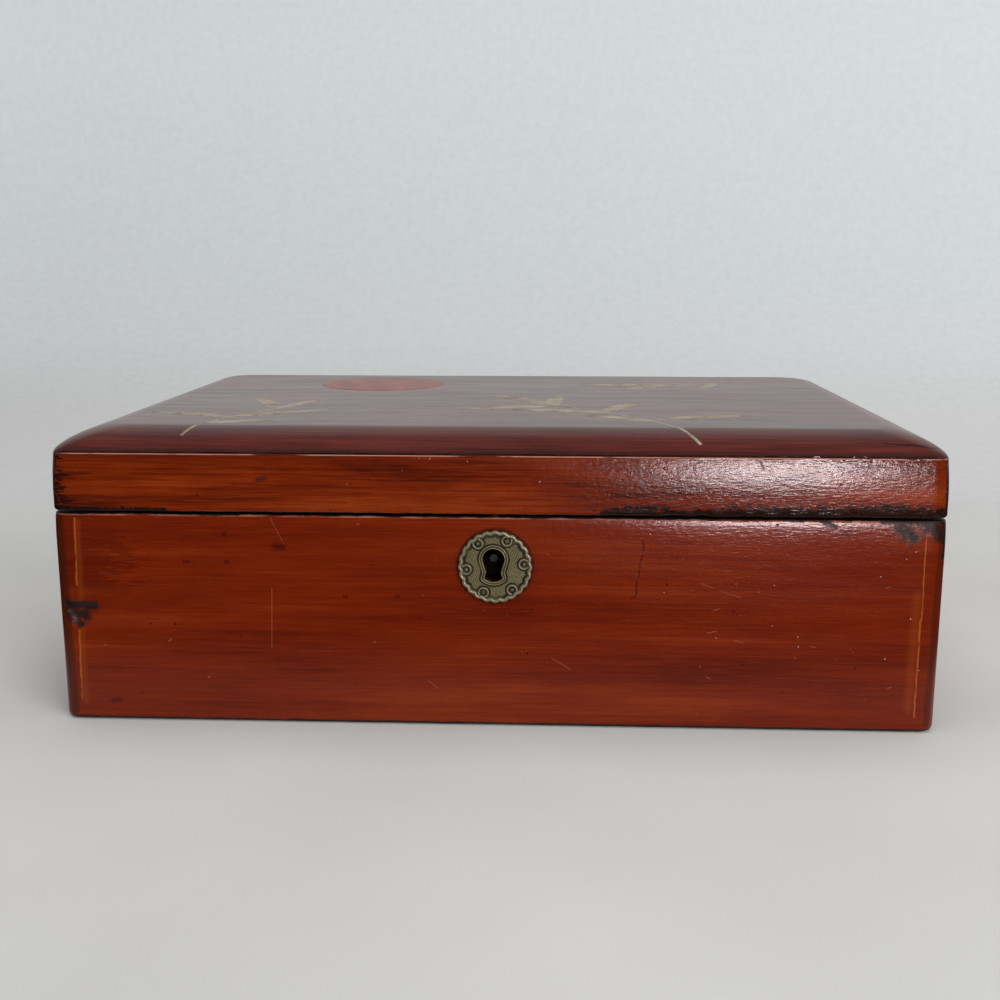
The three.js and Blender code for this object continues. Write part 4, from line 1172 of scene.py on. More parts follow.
def end_housings(facing, low, high):
    """Rebates in the ends of a front or back board, where the side boards go."""
    reach = half_depth - lip
    spans = [(-half_width - past, joint_gap - housing_edge), (housing_edge - joint_gap, half_width + past)]
    ends = (-reach, 0) if facing < 0 else (0, reach)
    return [block((a, ends[0], low - past), (b, ends[1], high + past)) for a, b in spans]


def long_block(facing, low, high):
    """What is kept for a front board (facing -1) or a back board (1), between two heights."""
    inner = half_depth - wall
    ends = (-half_depth - past, -inner) if facing < 0 else (inner, half_depth + past)
    return block((-half_width - past, ends[0], low), (half_width + past, ends[1], high))


def side_block(facing, low, high):
    """What is kept for a left board (facing -1) or a right board (1), between two heights."""
    inner = half_width - wall
    ends = (-half_width - past, -inner) if facing < 0 else (inner, half_width + past)
    reach = half_depth - lip - joint_gap
    return block((ends[0], -reach, low), (ends[1], reach, high))


def bottom_room(gap):
    """A block the size of the bottom board and a gap, open below."""
    low = (bottom_low.x - gap, bottom_low.y - gap, -past)
    return block(low, (bottom_high.x + gap, bottom_high.y + gap, bottom_high.z + gap))


sides = {
    "front": (long_block, -1),
    "back": (long_block, 1),
    "left": (side_block, -1),
    "right": (side_block, 1),
}
print("side boards are housed", round((half_depth - lip) / mm, 1), "mm from the middle")

# %% [markdown]
# ## Hinges and bevels
# The two hinges are let into the rims, with their pins three millimetres inside the back face.
# Body and lid are bevelled away from that line, so that the lid can turn until the bevels meet and
# hold it open a little past upright.

# %% Cuts for the hinges
pin_low, pin_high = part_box("left_hinge_pin")
axis_y = (pin_low.y + pin_high.y) / 2
axis_z = (pin_low.z + pin_high.z) / 2
open_angle = math.radians(100)
stop_slack = math.radians(0.5)
leaf_thickness = 0.9 * mm
knuckle_radius = 1.8 * mm
knuckle_clearance = 0.3 * mm


def back_bevel(way):
    """The wedge that is planed off behind the hinge line, above it (1) or below it (-1)."""
    reach = half_depth - axis_y + past
    rise = reach * math.tan(open_angle / 2 + stop_slack)
    corners = [(axis_y, axis_z), (axis_y + reach, axis_z), (axis_y + reach, axis_z + way * rise)]
    return prism(corners, 0, -half_width - past, half_width + past)


def hinge_mortises(low_z, high_z):
    """Room for a leaf of each hinge between two heights, and for its knuckles."""
    cuts = []
    for side in ("left", "right"):
        low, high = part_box(f"{side}_hinge_pin")
        x0, x1 = low.x - clearance, high.x + clearance
        cuts.append(block((x0, half_depth - wall - past, low_z), (x1, axis_y, high_z)))
        cuts.append(round_bar(0, x0, x1, (axis_y, axis_z), knuckle_radius + knuckle_clearance))
    return cuts


print("hinge line at", round(axis_y / mm, 2), round(axis_z / mm, 2))

# %% [markdown]
# ## Keyhole
# The keyhole is the classic shape: a round eye over a flared foot. The same outline serves for
# the hole in its plate and, drawn a little larger, for the hole in the wood.

# %% Keyhole outline
key_pin_low, key_pin_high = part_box("lock_key_pin")
key_x = (key_pin_low.x + key_pin_high.x) / 2
key_z = (key_pin_low.z + key_pin_high.z) / 2
eye_radius = 3.3 * mm
eye_end = math.radians(22)
neck_half, neck_drop = 2.2 * mm, 4.0 * mm
foot_half, foot_drop, foot_bottom = 2.8 * mm, 5.9 * mm, 7.0 * mm


def keyhole_outline(grow=0.0, steps=40):
    """Points round the keyhole, anticlockwise seen from the front, in X and Z."""
    radius = eye_radius + grow
    turns = np.linspace(-eye_end, math.pi + eye_end, steps)
    points = [(key_x + radius * math.cos(a), key_z + radius * math.sin(a)) for a in turns]
    points.append((key_x - neck_half - grow, key_z - neck_drop))
    start = np.array((key_x - foot_half - grow, key_z - foot_drop - grow / 2))
    end = np.array((key_x + foot_half + grow, key_z - foot_drop - grow / 2))
    middle = np.array((key_x, key_z - 2 * (foot_bottom + grow) + foot_drop + grow / 2))
    for t in np.linspace(0, 1, 12):
        points.append(tuple((1 - t) ** 2 * start + 2 * t * (1 - t) * middle + t**2 * end))
    points.append((key_x + neck_half + grow, key_z - neck_drop))
    return points


print("keyhole", len(keyhole_outline()), "points round", round(key_x / mm, 2), round(key_z / mm, 2))

# %% [markdown]
# Holes for the pegs and the lock are read from the pieces that go in, with a little clearance. Then
# every board of the body is cut in the same way: what is kept, less its own cuts.

# %% Holes for pegs and lock
lock_sheet = 1 * mm


def peg_holes():
    """Bores in the boards for the bamboo pegs under the box."""
    holes = []
    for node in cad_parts:
        if node.startswith("bottom_peg"):
            low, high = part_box(node)
            centre = ((low.x + high.x) / 2, (low.y + high.y) / 2)
            radius = (high.x - low.x) / 2 + 0.05 * mm
            holes.append(round_bar(2, -past, high.z + 0.1 * mm, centre, radius, 24))
    return holes


def lock_room():
    """Room in the front board for the lock's case, and for its plate's top and back."""
    inner = half_depth - wall
    case_low, case_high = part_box("lock_case")
    low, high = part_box("lock_plate")
    left, right, top = low.x - clearance, high.x + clearance, rim_z + past
    case = block(
        (case_low.x - clearance, case_low.y - clearance, case_low.z - clearance),
        (case_high.x + clearance, case_high.y + clearance + 2 * mm, case_high.z + clearance + 2 * mm),
    )
    flange = block(
        (left, low.y - clearance, high.z - lock_sheet - clearance),
        (right, -inner + past, top),
    )
    back = block(
        (left, -inner - lock_sheet - clearance, low.z - clearance),
        (right, -inner + past, top),
    )
    return [case, flange, back]


pegs = peg_holes()
print(len(pegs), "bores for pegs")

# %% Boards of the body
bottom_cut = bottom_room(joint_gap)
keyhole_cut = prism(keyhole_outline(0.15 * mm), 1, -half_depth - past, -half_depth + 4 * mm)
body_mortises = hinge_mortises(rim_z - leaf_thickness - clearance, lid_z + past)
body_boards = {
    "front": (body_front_red, [*end_housings(-1, 0, rim_z), bottom_cut, keyhole_cut, *lock_room()]),
    "back": (body_long_red, [*end_housings(1, 0, rim_z), bottom_cut, back_bevel(-1), *body_mortises]),
    "left": (body_side_red, [bottom_cut]),
    "right": (body_side_red, [bottom_cut]),
}
for name, (red, cuts) in body_boards.items():
    shape, facing = sides[name]
    keep = shape(facing, -past, rim_z + past)
    board = carve(f"{name}_wall", walls_of_body, keep, [*cuts, *pegs])
    dress(board, f"{name}_board", "box", red, underside_brown, inside_black)
bottom = carve("floor_board", walls_of_body, bottom_room(-joint_gap), pegs)
dress(bottom, "bottom_board", "box", underside_brown, underside_brown, inside_black)

# %% Boards of the lid
strike_low, strike_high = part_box("strike_plate")
strike_room = block(
    (strike_low.x - clearance, strike_low.y - clearance, lid_z - past),
    (strike_high.x + clearance, strike_high.y + clearance + past, strike_high.z + clearance),
)
lid_mortises = hinge_mortises(lid_z - past, lid_z + leaf_thickness + clearance)
lid_boards = {
    "front": (lid_front_red, [*end_housings(-1, lid_z, crown_low.z), strike_room]),
    "back": (lid_long_red, [*end_housings(1, lid_z, crown_low.z), back_bevel(1), *lid_mortises]),
    "left": (lid_side_red, []),
    "right": (lid_side_red, []),
}
for name, (red, cuts) in lid_boards.items():
    shape, facing = sides[name]
    board = carve(f"lid_{name}_wall", walls_of_lid, shape(facing, lid_z - past, crown_low.z), cuts)
    dress(board, f"lid_{name}_rail", "lid", red, inside_black, inside_black)

# %% Crown board
def dress_crown():
    """Maroon above the arris, the walls' red on the thin upright edge, black below."""
    heights = of_faces(crown.data, "center")[:, 2]
    index = np.where(heights < arris_z + 0.02 * mm, 1, 0)
    index[heights < crown_low.z + 0.01 * mm] = 2
    coat_faces(crown.data, (crown_maroon, lid_front_red, inside_black), index)
    crown.name = "crown_board"
    settle(crown, "lid_top_board", "lid")


dress_crown()
for tool in [*cutters, walls_of_body, walls_of_lid]:
    bpy.data.objects.remove(tool)
cutters.clear()
print("crown board from", round(crown_low.z / mm, 2), "to", round(crown_high.z / mm, 2), "mm")

# %% [markdown]
# ## Metals
# Four metals are used. The keyhole plate is cast and chased brass that has tarnished to a greenish
# brown, dark in its recesses and bright where fingers rub it. The lock and hinges are filed brass,
# with fine file marks. The lock's case and bolt, and the plate's faces that look forward, are painted
# black as the shade behind the keyhole. The lock's spring and key pin are steel, and the screws are
# turned brass. A metal's colour is its reflection, so each has a metallic surface and keeps the usual
# index.

# %% Metal finishes
mark_depth = 0.02 * mm


def filed_metal(name, dark, light, roughness, run=0, mark_pitch=0.35, mark_length=9, painted_shade_front=False):
    """Metal with file marks along X (0), Y (1) or Z (2). The marks are drawn coarser than real ones. Faces
    that look forward can be painted black as shade.
    """
    material, tree, surface, place = start_material(name)
    marks = stretched(tree, place, run, mark_pitch * mm, mark_length * mm, Detail=3.0)
    mottled = {"Scale": 1 / (4 * mm), "Detail": 4.0, "Roughness": 0.6}
    tarnish = add(tree, "TexNoise", {"Vector": place, **mottled})
    tone = add(tree, "ValToRGB", {0: tarnish}, stops=[(0.35, dark), (0.62, light)])
    # Painted shade: faces that look forward, seen through the keyhole, are painted black.
    if painted_shade_front:
        way = add(tree, "SeparateXYZ", {0: add(tree, "NewGeometry", {}, out="Normal")}, out="Y")
        forward = add(tree, "Math", {0: way, 1: -0.5}, operation="LESS_THAN")
        tone = coats(tree, tone, [((forward,), 1.0, "#120e08")])
    gloss = add(tree, "MapRange", {0: tarnish, 1: 0.3, 2: 0.7, 3: roughness + 0.1, 4: roughness})
    bump = add(tree, "Bump", {"Strength": 1.0, "Distance": mark_depth, "Height": marks})
    fill(tree, surface, {"Base Color": tone, "Roughness": gloss, "Normal": bump, "Metallic": 1.0})
    return material


lock_brass = filed_metal("filed_brass", "#7a6330", "#b3924c", 0.32)
screw_brass = filed_metal("turned_screw_brass", "#6d5a2c", "#a68c4a", 0.34, 0, 0.3, 3)
# Painted shade: the lock's case and bolt are brass painted black for the shade inside the box behind the
# keyhole.
shade_black_brass = filed_metal("brass_painted_black_as_shade", "#15110a", "#2b2314", 0.5)
plate_brass_shaded_front = filed_metal("filed_brass_painted_shade_front", "#6b5729", "#a08244", 0.32, painted_shade_front=True)
pin_brass = filed_metal("rubbed_pin_brass", "#5b553c", "#8a8262", 0.45)
spring_steel = filed_metal("dark_spring_steel", "#1e1f20", "#3f4144", 0.36, 2)
print("metals:", [m.name for m in bpy.data.materials if "brass" in m.name or "steel" in m.name])

# %% Tarnished brass and bamboo
brass_tones = [(0.16, "#17140d"), (0.32, "#3d3826"), (0.52, "#7c7556"), (0.75, "#938a68"), (1.0, "#9d957b")]
bamboo_tones = [(0.35, "#6d5230"), (0.5, "#96774a"), (0.65, "#b39260")]


def chased_brass():
    """Tarnished brass: dark and greenish where the relief is low, rubbed bright where it is high."""
    material, tree, surface, place = start_material("tarnished_chased_brass")
    relief = add(tree, "Attribute", {}, attribute_name="relief", out="Fac")
    mottled = {"Scale": 1 / (3 * mm), "Detail": 4.0, "Roughness": 0.65}
    cloud = add(tree, "TexNoise", {"Vector": place, **mottled})
    height = add(tree, "Math", {0: cloud, 1: 0.3, 2: relief}, operation="MULTIPLY_ADD")
    tone = add(tree, "ValToRGB", {0: height}, stops=brass_tones)
    green = add(tree, "TexNoise", {"Vector": place, "Scale": 1 / (5 * mm), "Detail": 2.0})
    greened = add(tree, "MapRange", {0: green, 1: 0.45, 2: 0.7}, **soft_step)
    tone = coats(tree, tone, [((greened,), 0.3, "#77793f")])
    gloss = add(tree, "MapRange", {0: height, 1: 0.3, 2: 1.1, 3: 0.6, 4: 0.42})
    metallic = add(tree, "MapRange", {0: height, 1: 0.1, 2: 0.5, 3: 0.35, 4: 0.85})
    fill(tree, surface, {"Base Color": tone, "Roughness": gloss, "Metallic": metallic})
    return material


def split_bamboo():
    """Bamboo with its fibres along Z, as the pegs have them."""
    material, tree, surface, place = start_material("split_bamboo")
    fibre = stretched(tree, place, 2, 0.3 * mm, 8 * mm, Detail=3.0)
    tone = add(tree, "ValToRGB", {0: fibre}, stops=bamboo_tones)
    fill(tree, surface, {"Base Color": tone, "Roughness": 0.6, "Specular IOR Level": 0.3})
    return material


aged_brass = chased_brass()
bamboo = split_bamboo()
print("plate and pegs:", aged_brass.name, bamboo.name)

# %% [markdown]
# ## Keyhole plate
# The plate is a thin disc with a scalloped edge. A rounded rim runs round the keyhole and a second
# one follows the scallops. Six small curls stand between them, each a ring that is open towards the
# edge, most with a bead in their middle, and the ground is chased with fine crossed strokes. All of
# it is one height field, drawn on a grid that runs from the keyhole's outline out to the scallops.

# %% Outline and grid of the plate
plate_back, plate_crest = plate_high.y, plate_low.y
lobes, lobe_depth = 24, 0.45 * mm
plate_turns, plate_rows = 480, 84


def scallop(turns):
    """The plate's edge at each turn, in X and Z."""
    reach = plate_radius - lobe_depth * (1 - np.abs(np.cos(lobes * turns / 2)))
    return np.column_stack([plate_x + reach * np.cos(turns), plate_z + reach * np.sin(turns)])


def keyhole_by_turn(turns):
    """The keyhole's outline, resampled at each turn as seen from a point inside it."""
    inside = np.array((key_x, key_z - 2 * mm))
    outline = np.array(keyhole_outline(0, 80))
    following = np.roll(outline, -1, axis=0)
    shares = np.linspace(0, 1, 12)[:, None]
    parts = np.vstack([a + (b - a) * shares for a, b in zip(outline, following)]) - inside
    angles = np.arctan2(parts[:, 1], parts[:, 0]) % (2 * math.pi)
    order = np.argsort(angles)
    reach = np.interp(turns, angles[order], np.hypot(*parts[order].T), period=2 * math.pi)
    return np.column_stack([inside[0] + reach * np.cos(turns), inside[1] + reach * np.sin(turns)])


turns = np.linspace(0, 2 * math.pi, plate_turns, endpoint=False)
edge_points = scallop(turns)
eye_points = keyhole_by_turn(turns)
print("plate radius", round(plate_radius / mm, 2), "mm at", round(plate_x / mm, 2), round(plate_z / mm, 2))

# %% Relief of the plate
rim_width, band_width = 1.3 * mm, 1.15 * mm
curls, curl_start = 6, math.radians(24)
curl_circle, curl_line, curl_half = 8.8 * mm, 1.42 * mm, 0.36 * mm
curl_opening = math.radians(38)
hatch_pitch, hatch_turn = 0.9 * mm, math.radians(24)


def nearest(points, outline):
    """Distance from each point to the nearest point of an outline."""
    return np.sqrt(((points[:, None, :] - outline[None, :, :]) ** 2).sum(2).min(1))


def bead(distance, half):
    """A rounded ridge: its height at a distance from its middle line."""
    return np.sqrt(np.clip(1 - (distance / half) ** 2, 0, 1))


def plate_relief(points):
    """The relief at each point, from 0 for the deepest ground to 1 for the crests."""
    to_eye = nearest(points, eye_points)
    to_edge = nearest(points, edge_points)
    height = bead(to_eye - rim_width * 0.17, rim_width * 0.19)
    height = np.maximum(height, 0.62 * bead(to_eye - rim_width * 0.72, rim_width * 0.2))
    height = np.maximum(height, bead(to_edge - band_width * 0.48, band_width * 0.52))
    groove = bead(to_edge - band_width * 1.3, band_width * 0.34)
    groove = np.maximum(groove, bead(to_eye - rim_width * 1.08, rim_width * 0.2))
    groove = np.maximum(groove, 0.6 * (to_eye < rim_width * 0.7))
    for i in range(curls):
        angle = math.pi / 2 - curl_start - 2 * math.pi * i / curls
        way = np.array((math.cos(angle), math.sin(angle)))
        offset = points - (np.array((plate_x, plate_z)) + curl_circle * way)
        reach = np.hypot(*offset.T)
        turned = np.arctan2(offset[:, 1], offset[:, 0]) - angle
        away = np.abs((turned + math.pi) % (2 * math.pi) - math.pi)
        curl = bead(reach - curl_line, curl_half) * (away > curl_opening)
        height = np.maximum(height, 0.95 * curl)
        if i % 3:
            height = np.maximum(height, 0.8 * bead(reach, 0.52 * mm))
        groove = np.maximum(groove, reach < curl_line)
        groove = np.maximum(groove, bead(reach - curl_line - curl_half * 1.5, curl_half * 0.8))
    first = (points[:, 0] * math.cos(hatch_turn) + points[:, 1] * math.sin(hatch_turn)) / hatch_pitch
    second = (points[:, 1] * math.cos(hatch_turn) - points[:, 0] * math.sin(hatch_turn)) / hatch_pitch
    dots = np.sin(2 * math.pi * first) * np.sin(2 * math.pi * second)
    return np.maximum(height, (0.42 + 0.2 * dots) * (1 - groove))


print(curls, "curls on a circle of", round(curl_circle / mm, 1), "mm")

# %% Build the plate
relief_height = 0.45 * mm
plate_crisp = math.radians(50)


def at_depth(flat, y):
    """Places on the plate, given in X and Z, at a depth."""
    return np.column_stack([flat[:, 0], np.broadcast_to(y, len(flat)), flat[:, 1]])


def build_plate():
    """The height field in front, the edges and the flat back, closed round both outlines."""
    shares = np.linspace(0, 1, plate_rows)
    flat = np.vstack([eye_points + (edge_points - eye_points) * s for s in shares])
    relief = plate_relief(flat)
    face = at_depth(flat, plate_crest + relief_height - relief * relief_height)
    points = np.vstack([face, at_depth(edge_points, plate_back), at_depth(eye_points, plate_back)])
    rings = plate_rows + 2
    faces = []
    for r in range(rings):
        low, high = r * plate_turns, (r + 1) % rings * plate_turns
        for i in range(plate_turns):
            j = (i + 1) % plate_turns
            faces.append((low + i, high + i, high + j, low + j))
    plate = solid("chased_keyhole_plate", points, faces)
    straighten(plate.data)
    attribute = plate.data.attributes.new("relief", "FLOAT", "POINT")
    values = np.concatenate([relief, np.zeros(2 * plate_turns)])
    attribute.data.foreach_set("value", values.astype(np.float32))
    plate.data.materials.append(aged_brass)
    settle(plate, "keyhole_plate", "box", plate_crisp)
    return plate


print("keyhole plate", len(build_plate().data.polygons), "faces")

# %% [markdown]
# ## Hinges
# Each butt hinge is two leaves rolled round one pin: the body's leaf has the two outer knuckles and
# the lid's leaf the middle one. The leaves are made from a plate and turned bars, joined and then
# bored, so that they can swing in each other.

# %% Finish a metal piece
def soften(piece, width):
    """Breaks a piece's edges, as a file does."""
    bevel = piece.modifiers.new("soft_edges", "BEVEL")
    bevel.width = width
    bevel.segments = 2
    bevel.limit_method = "ANGLE"
    bevel.angle_limit = math.radians(50)
    bevel.use_clamp_overlap = True
    bevel.harden_normals = False


def finish_metal(piece, node, body, material):
    """Gives a metal piece its finish, its place and its body."""
    piece.data.materials.clear()
    piece.data.materials.append(material)
    settle(piece, node, body)


print("metal edges turn crisp at", round(math.degrees(crisp_angle)), "degrees")

# %% Hinge leaves
pin_radius, pin_clearance = 0.7 * mm, 0.15 * mm
middle_knuckle = 11 * mm
screw_hole = 1.62 * mm


def knuckle(x0, x1, radius):
    """A bar along the hinge line."""
    return round_bar(0, x0, x1, (axis_y, axis_z), radius)


def hinge_leaf(side, part):
    """A leaf of the body or the lid: a plate, cleared and joined at its knuckles, and bored."""
    x0, x1 = (corner.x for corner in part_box(f"{side}_hinge_pin"))
    middle = (x0 + x1) / 2
    c0, c1 = middle - middle_knuckle / 2, middle + middle_knuckle / 2
    gap = knuckle_clearance
    if part == "body":
        body, low_z = "box", rim_z - leaf_thickness
        own, others = [(x0, c0 - gap), (c1 + gap, x1)], [(c0 - gap, c1 + gap)]
    else:
        body, low_z = "lid", lid_z
        own, others = [(c0, c1)], [(x0 - past, c0), (c1, x1 + past)]
    start = block((x0, half_depth - wall, low_z), (x1, axis_y, low_z + leaf_thickness))
    steps = [(knuckle(a, b, knuckle_radius + gap), "DIFFERENCE") for a, b in others]
    steps += [(knuckle(a, b, knuckle_radius), "UNION") for a, b in own]
    steps.append((knuckle(x0 - past, x1 + past, pin_radius + pin_clearance), "DIFFERENCE"))
    for end in ("left", "right"):
        low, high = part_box(f"{side}_hinge_{part}_screw_{end}")
        centre = ((low.x + high.x) / 2, (low.y + high.y) / 2)
        hole = round_bar(2, low_z - past, low_z + leaf_thickness + past, centre, screw_hole, 32)
        steps.append((hole, "DIFFERENCE"))
    leaf = worked(f"{side}_hinge_{part}_plate", start, steps)
    finish_metal(leaf, f"{side}_hinge_{part}_leaf", body, lock_brass)


for side in ("left", "right"):
    hinge_leaf(side, "body")
    hinge_leaf(side, "lid")
    low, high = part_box(f"{side}_hinge_pin")
    pin = round_bar(0, low.x, high.x, (axis_y, axis_z), pin_radius, 32)
    cutters.remove(pin)
    pin.name = f"{side}_hinge_wire"
    soften(pin, 0.1 * mm)
    finish_metal(pin, f"{side}_hinge_pin", "box", lock_brass)

# %% [markdown]
# ## Screws
# Fourteen small countersunk screws hold the hinges, the lock and the strike plate. One turned
# profile with a sawn slot serves for all, laid where each of the frame's screws lies and turned so
# that no two slots line up.

# %% Turn the screws
screw_turn = 1.3
slot_width, slot_depth = 0.45 * mm, 0.4 * mm
screw_steps = 32
shank = 0.8
head_profile = [(shank, -1.0), (1.44, -0.12), (1.5, -0.06), (1.44, -0.01), (0.9, 0.0)]


def turned_screw(length):
    """A screw with its head's face at the origin and its point at -Z, before its slot is sawn."""
    turns = np.linspace(0, 2 * math.pi, screw_steps, False)
    profile = [(shank, 1.4 - length / mm), *head_profile]
    points = [(0, 0, -length)]
    for r, z in profile:
        points += [(r * mm * math.cos(t), r * mm * math.sin(t), z * mm) for t in turns]
    faces = [(0, 1 + (i + 1) % screw_steps, 1 + i) for i in range(screw_steps)]
    faces += bands([1 + k * screw_steps for k in range(len(profile))], screw_steps)
    faces.append(tuple(range(len(points) - screw_steps, len(points))))
    cutters.append(solid("screw_blank", points, faces))
    return cutters[-1]


def place_screw(node, number):
    """Saws the slot of a screw and lays it where its plain solid lies."""
    low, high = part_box(node)
    middle = (low + high) / 2
    head, length, tilt, body = Vector((middle.x, middle.y, high.z)), high.z - low.z, 0, "box"
    if "_lid_" in node or node.startswith("strike"):
        head.z, tilt, body = low.z, math.pi, "lid"
    elif node.startswith("lock"):
        head, length, tilt = Vector((middle.x, high.y, middle.z)), high.y - low.y, -math.pi / 2
    slot = block((-2 * mm, -slot_width / 2, -slot_depth), (2 * mm, slot_width / 2, past))
    screw = worked(f"{node}_turned", turned_screw(length), [(slot, "DIFFERENCE")])
    facing = Matrix.Rotation(tilt, 4, "X") @ Matrix.Rotation(screw_turn * number, 4, "Z")
    screw.data.transform(Matrix.Translation(head) @ facing)
    finish_metal(screw, node, body, screw_brass)


screws = sorted(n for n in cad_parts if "_screw_" in n)
for number, node in enumerate(screws):
    place_screw(node, number)
for tool in cutters:
    bpy.data.objects.remove(tool)
print(len(screws), "screws")

# %% [markdown]
# ## Pieces that keep their solids
# The lock's plate, case, bolt and staple are flat sheet metal, and their solids already have the
# right shape, as the pegs' and pins' have. They get their finish here, and a bevel modifier that
# breaks their edges, as a locksmith's file does.

# %% Finish the carried-over pieces
finish_of = {
    "bottom_peg": ("bamboo", bamboo),
    "keyhole_plate_pin": ("aged_brass", pin_brass),
    "lock_key_pin": ("spring_steel", spring_steel),
    "lock_spring": ("spring_steel", spring_steel),
    # The case and bolt take brass painted black as shade, and the plate's forward faces are painted black
    # as shade.
    "lock_case": ("lock_brass", shade_black_brass),
    "lock_bolt": ("lock_brass", shade_black_brass),
    "lock_plate": ("lock_brass", plate_brass_shaded_front),
    "lock_": ("lock_brass", lock_brass),
    "strike_plate": ("lock_brass", lock_brass),
}
kept = {name: node for name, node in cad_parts.items() if not node.hide_render}
for name, node in kept.items():
    slot, material = next(value for start, value in finish_of.items() if name.startswith(start))
    node.data.materials.clear()
    node.data.materials.append(material)
    soften(node, 0.08 * mm)
print(len(kept), "pieces keep their solids")

# %% [markdown]
# ## Painted top
# The lid of such a box is decorated in sprinkled gold: a drawing in wet lacquer is dusted with gold
# powder, which stands a hair above the ground coat. Here it is a plain traditional sprig of bamboo,
# with a dull red sun behind it. Each leaf is a thin closed shell laid on the crown, so that it
# follows the curve and catches light at its edge.

# %% Gold and dull red
def sprinkled_gold():
    """Gold powder, thick and thin, that has worn off in patches."""
    material, tree, surface, place = start_material("sprinkled_gold")
    grains = {"Scale": 1 / (0.5 * mm), "Detail": 3.0, "Roughness": 0.7}
    powder = add(tree, "TexNoise", {"Vector": place, **grains})
    worn = add(tree, "TexNoise", {"Vector": place, "Scale": 1 / (7 * mm), "Detail": 4.0})
    thick = add(tree, "Math", {0: worn, 1: 0.8, 2: powder}, operation="MULTIPLY_ADD")
    cover = add(tree, "MapRange", {0: thick, 1: 0.72, 2: 1.0}, **soft_step)
    colour = add(tree, "Mix", {0: cover, 6: linear("#644a40"), 7: linear("#ab9f88")}, **colour_mix)
    metallic = add(tree, "Math", {0: cover, 1: 0.35}, operation="MULTIPLY")
    fill(tree, surface, {"Base Color": colour, "Metallic": metallic, "Roughness": 0.42})
    return material


def dull_red():
    """Red powder in a thin coat."""
    material, tree, surface, place = start_material("dull_red_powder")
    clouded = {"Scale": 1 / (9 * mm), "Detail": 5.0, "Roughness": 0.65}
    cloud = add(tree, "TexNoise", {"Vector": place, **clouded})
    colour = add(tree, "ValToRGB", {0: cloud}, stops=[(0.35, "#6a2c24"), (0.65, "#94503f")])
    fill(tree, surface, {"Base Color": colour, "Roughness": 0.34})
    return material


gold, red_powder = sprinkled_gold(), dull_red()
print("powders:", gold.name, red_powder.name)

# %% Lay a shape on the crown
gold_rise, gold_root = 0.05 * mm, 0.04 * mm
crown_points = [v.co.copy() for v in crown.data.vertices]
crown_tree = BVHTree.FromPolygons(crown_points, [tuple(p.vertices) for p in crown.data.polygons])


def on_crown(x, y):
    """The point of the crown above a place, and the way the surface faces there."""
    hit, way, _, _ = crown_tree.ray_cast(Vector((x, y, 0.2)), Vector((0, 0, -1)))
    return hit, way


def shell_faces(rows, columns):
    """Faces of a closed shell: a grid of points on top, one below, and a wall round their border."""
    size = rows * columns
    faces = []
    for r in range(rows - 1):
        for c in range(columns - 1):
            a = r * columns + c
            faces.append((a, a + 1, a + columns + 1, a + columns))
            faces.append((size + a, size + a + columns, size + a + columns + 1, size + a + 1))
    border = list(range(columns)) + [r * columns + columns - 1 for r in range(1, rows)]
    border += [(rows - 1) * columns + c for c in range(columns - 2, -1, -1)]
    border += [r * columns for r in range(rows - 2, 0, -1)]
    return faces + [(a, size + a, size + b, b) for a, b in zip(border, border[1:] + border[:1])]


def ribbon(name, line, widths, material, columns=5):
    """A thin shell along a line of places in millimetres, with a half width for each."""
    line = np.array(line, float) * mm
    ways = np.gradient(line, axis=0)
    ways /= np.maximum(np.linalg.norm(ways, axis=1, keepdims=True), 1e-9)
    sideways = np.column_stack([-ways[:, 1], ways[:, 0]])
    tops, roots = [], []
    for place, side, width in zip(line, sideways, widths):
        for share in np.linspace(-1, 1, columns):
            hit, way = on_crown(*(place + side * share * width * mm))
            tops.append(hit + way * gold_rise * (1 - 0.75 * share**2))
            roots.append(hit - way * gold_root)
    shell = solid(name, tops + roots, shell_faces(len(line), columns))
    straighten(shell.data)
    shell.data.materials.append(material)
    shell.data.shade_smooth()
    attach(shell, "lid")


print("gold stands", gold_rise / mm, "mm above the crown")

# %% Leaves and stems
leaf_steps, stem_steps, stem_width = 18, 40, 0.55


def leaf(name, base, length, width, angle, bend):
    """A narrow pointed leaf from its base, turned by an angle in degrees from +X, slightly bent."""
    t = np.linspace(0.0, 1.0, leaf_steps)
    a = np.radians(angle + bend * (t - 0.5) * 2)
    step = length / (leaf_steps - 1)
    x = base[0] + np.concatenate([[0], np.cumsum(np.cos(a[:-1]) * step)])
    y = base[1] + np.concatenate([[0], np.cumsum(np.sin(a[:-1]) * step)])
    widths = np.maximum(width * np.sin(math.pi * t**0.75) ** 0.9, 0.06)
    ribbon(name, np.column_stack([x, y]), widths, gold)


def stem(name, points):
    """A thin curved line through a few places."""
    points = np.array(points, float)
    t = np.linspace(0, len(points) - 1, stem_steps)
    line = np.column_stack([np.interp(t, range(len(points)), points[:, i]) for i in (0, 1)])
    for i in (0, 1):
        line[3:-3, i] = np.convolve(line[:, i], np.ones(7) / 7, "valid")
    ribbon(name, line, np.full(stem_steps, stem_width), gold, 3)


print("a leaf is drawn in", leaf_steps, "steps and a stem in", stem_steps)

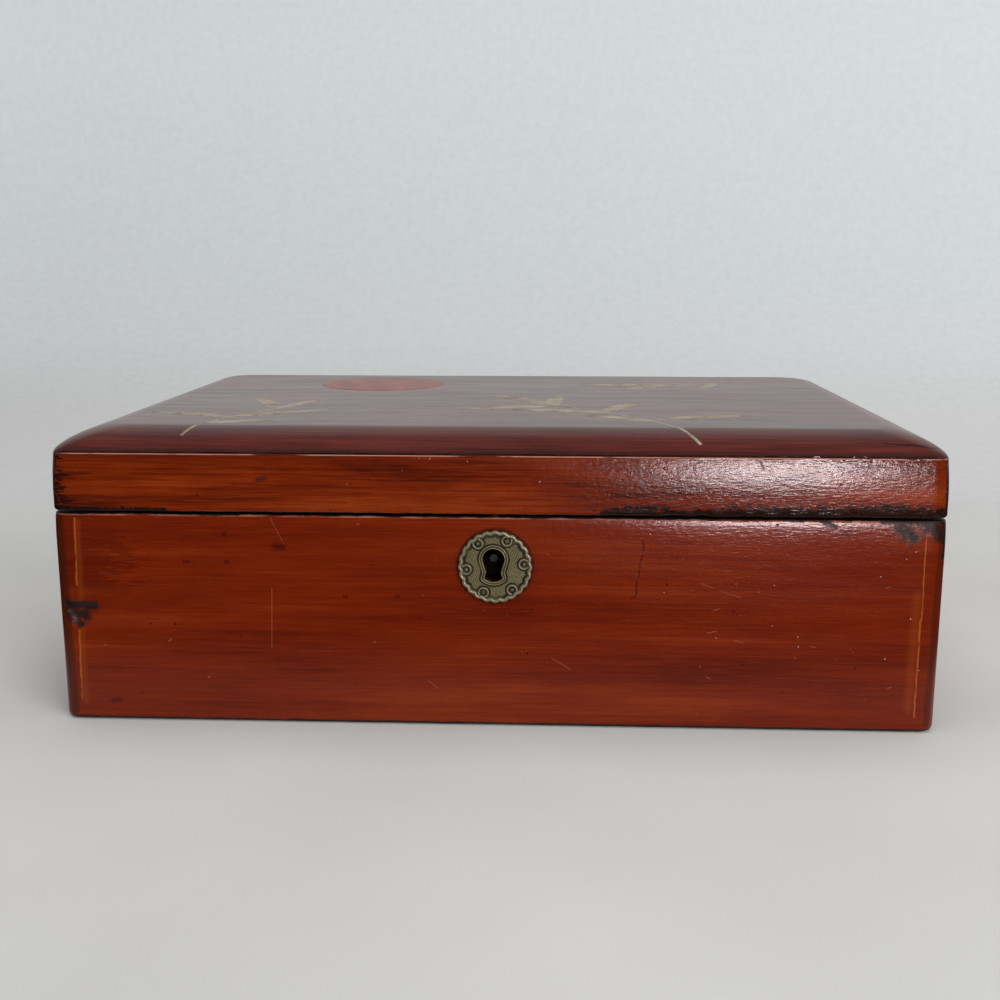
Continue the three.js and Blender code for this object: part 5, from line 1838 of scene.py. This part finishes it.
# %% Sprigs
sprigs = {
    "front": {
        "stem": [(62, -91.0), (58, -84), (50, -66), (36, -44), (18, -26)],
        "leaves": [
            ((50, -66), 34, 3.4, 150, 12),
            ((49, -64), 38, 3.8, 20, -14),
            ((36, -44), 40, 4.0, 172, 10),
            ((35, -43), 34, 3.6, 62, -12),
            ((20, -28), 36, 3.6, 196, 12),
            ((18, -26), 42, 4.0, 130, 16),
            ((18, -26), 34, 3.4, 84, -10),
        ],
    },
    "side": {
        "stem": [(-96, -88.5), (-93, -80), (-88, -62), (-78, -40)],
        "leaves": [
            ((-92, -76), 26, 2.8, 18, -12),
            ((-88, -62), 32, 3.2, 158, 12),
            ((-86, -60), 34, 3.4, 34, -12),
            ((-78, -40), 36, 3.6, 116, 14),
            ((-78, -40), 34, 3.2, 66, -14),
        ],
    },
    "back": {
        "stem": [(98, 62), (84, 52), (66, 46)],
        "leaves": [
            ((84, 52), 30, 3.2, 236, -10),
            ((66, 46), 38, 3.6, 186, 12),
            ((66, 46), 32, 3.2, 222, 10),
        ],
    },
}
for name, sprig in sprigs.items():
    stem(f"gold_stem_{name}", sprig["stem"])
    for number, sizes in enumerate(sprig["leaves"], 1):
        leaf(f"gold_leaf_{name}_{number}", *sizes)
print(sum(len(s["leaves"]) for s in sprigs.values()), "leaves")

# %% Red sun
sun_radius, sun_x, sun_y = 25, -52, 44.0
sun_shares = np.linspace(-1, 1, 41)
sun_line = np.column_stack([sun_x + sun_radius * sun_shares, np.full(41, sun_y)])
sun_widths = np.maximum(sun_radius * np.sqrt(1 - sun_shares**2), 0.1)
ribbon("red_sun", sun_line, sun_widths, red_powder, 15)
print("sun", 2 * sun_radius, "mm wide")

# %% [markdown]
# ## Sizes of the dressed box
# The finished pieces must lie where the plain solids lay, so both sizes are gathered side by side and
# printed.

# %% Gather the sizes
dressed_low, dressed_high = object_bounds()
sizes = {"frame": [list(frame_low), list(frame_high)], "dressed": [list(dressed_low), list(dressed_high)]}
print("frame", [round(v / mm, 2) for v in (*frame_low, *frame_high)])
print("dressed", [round(v / mm, 2) for v in (*dressed_low, *dressed_high)])
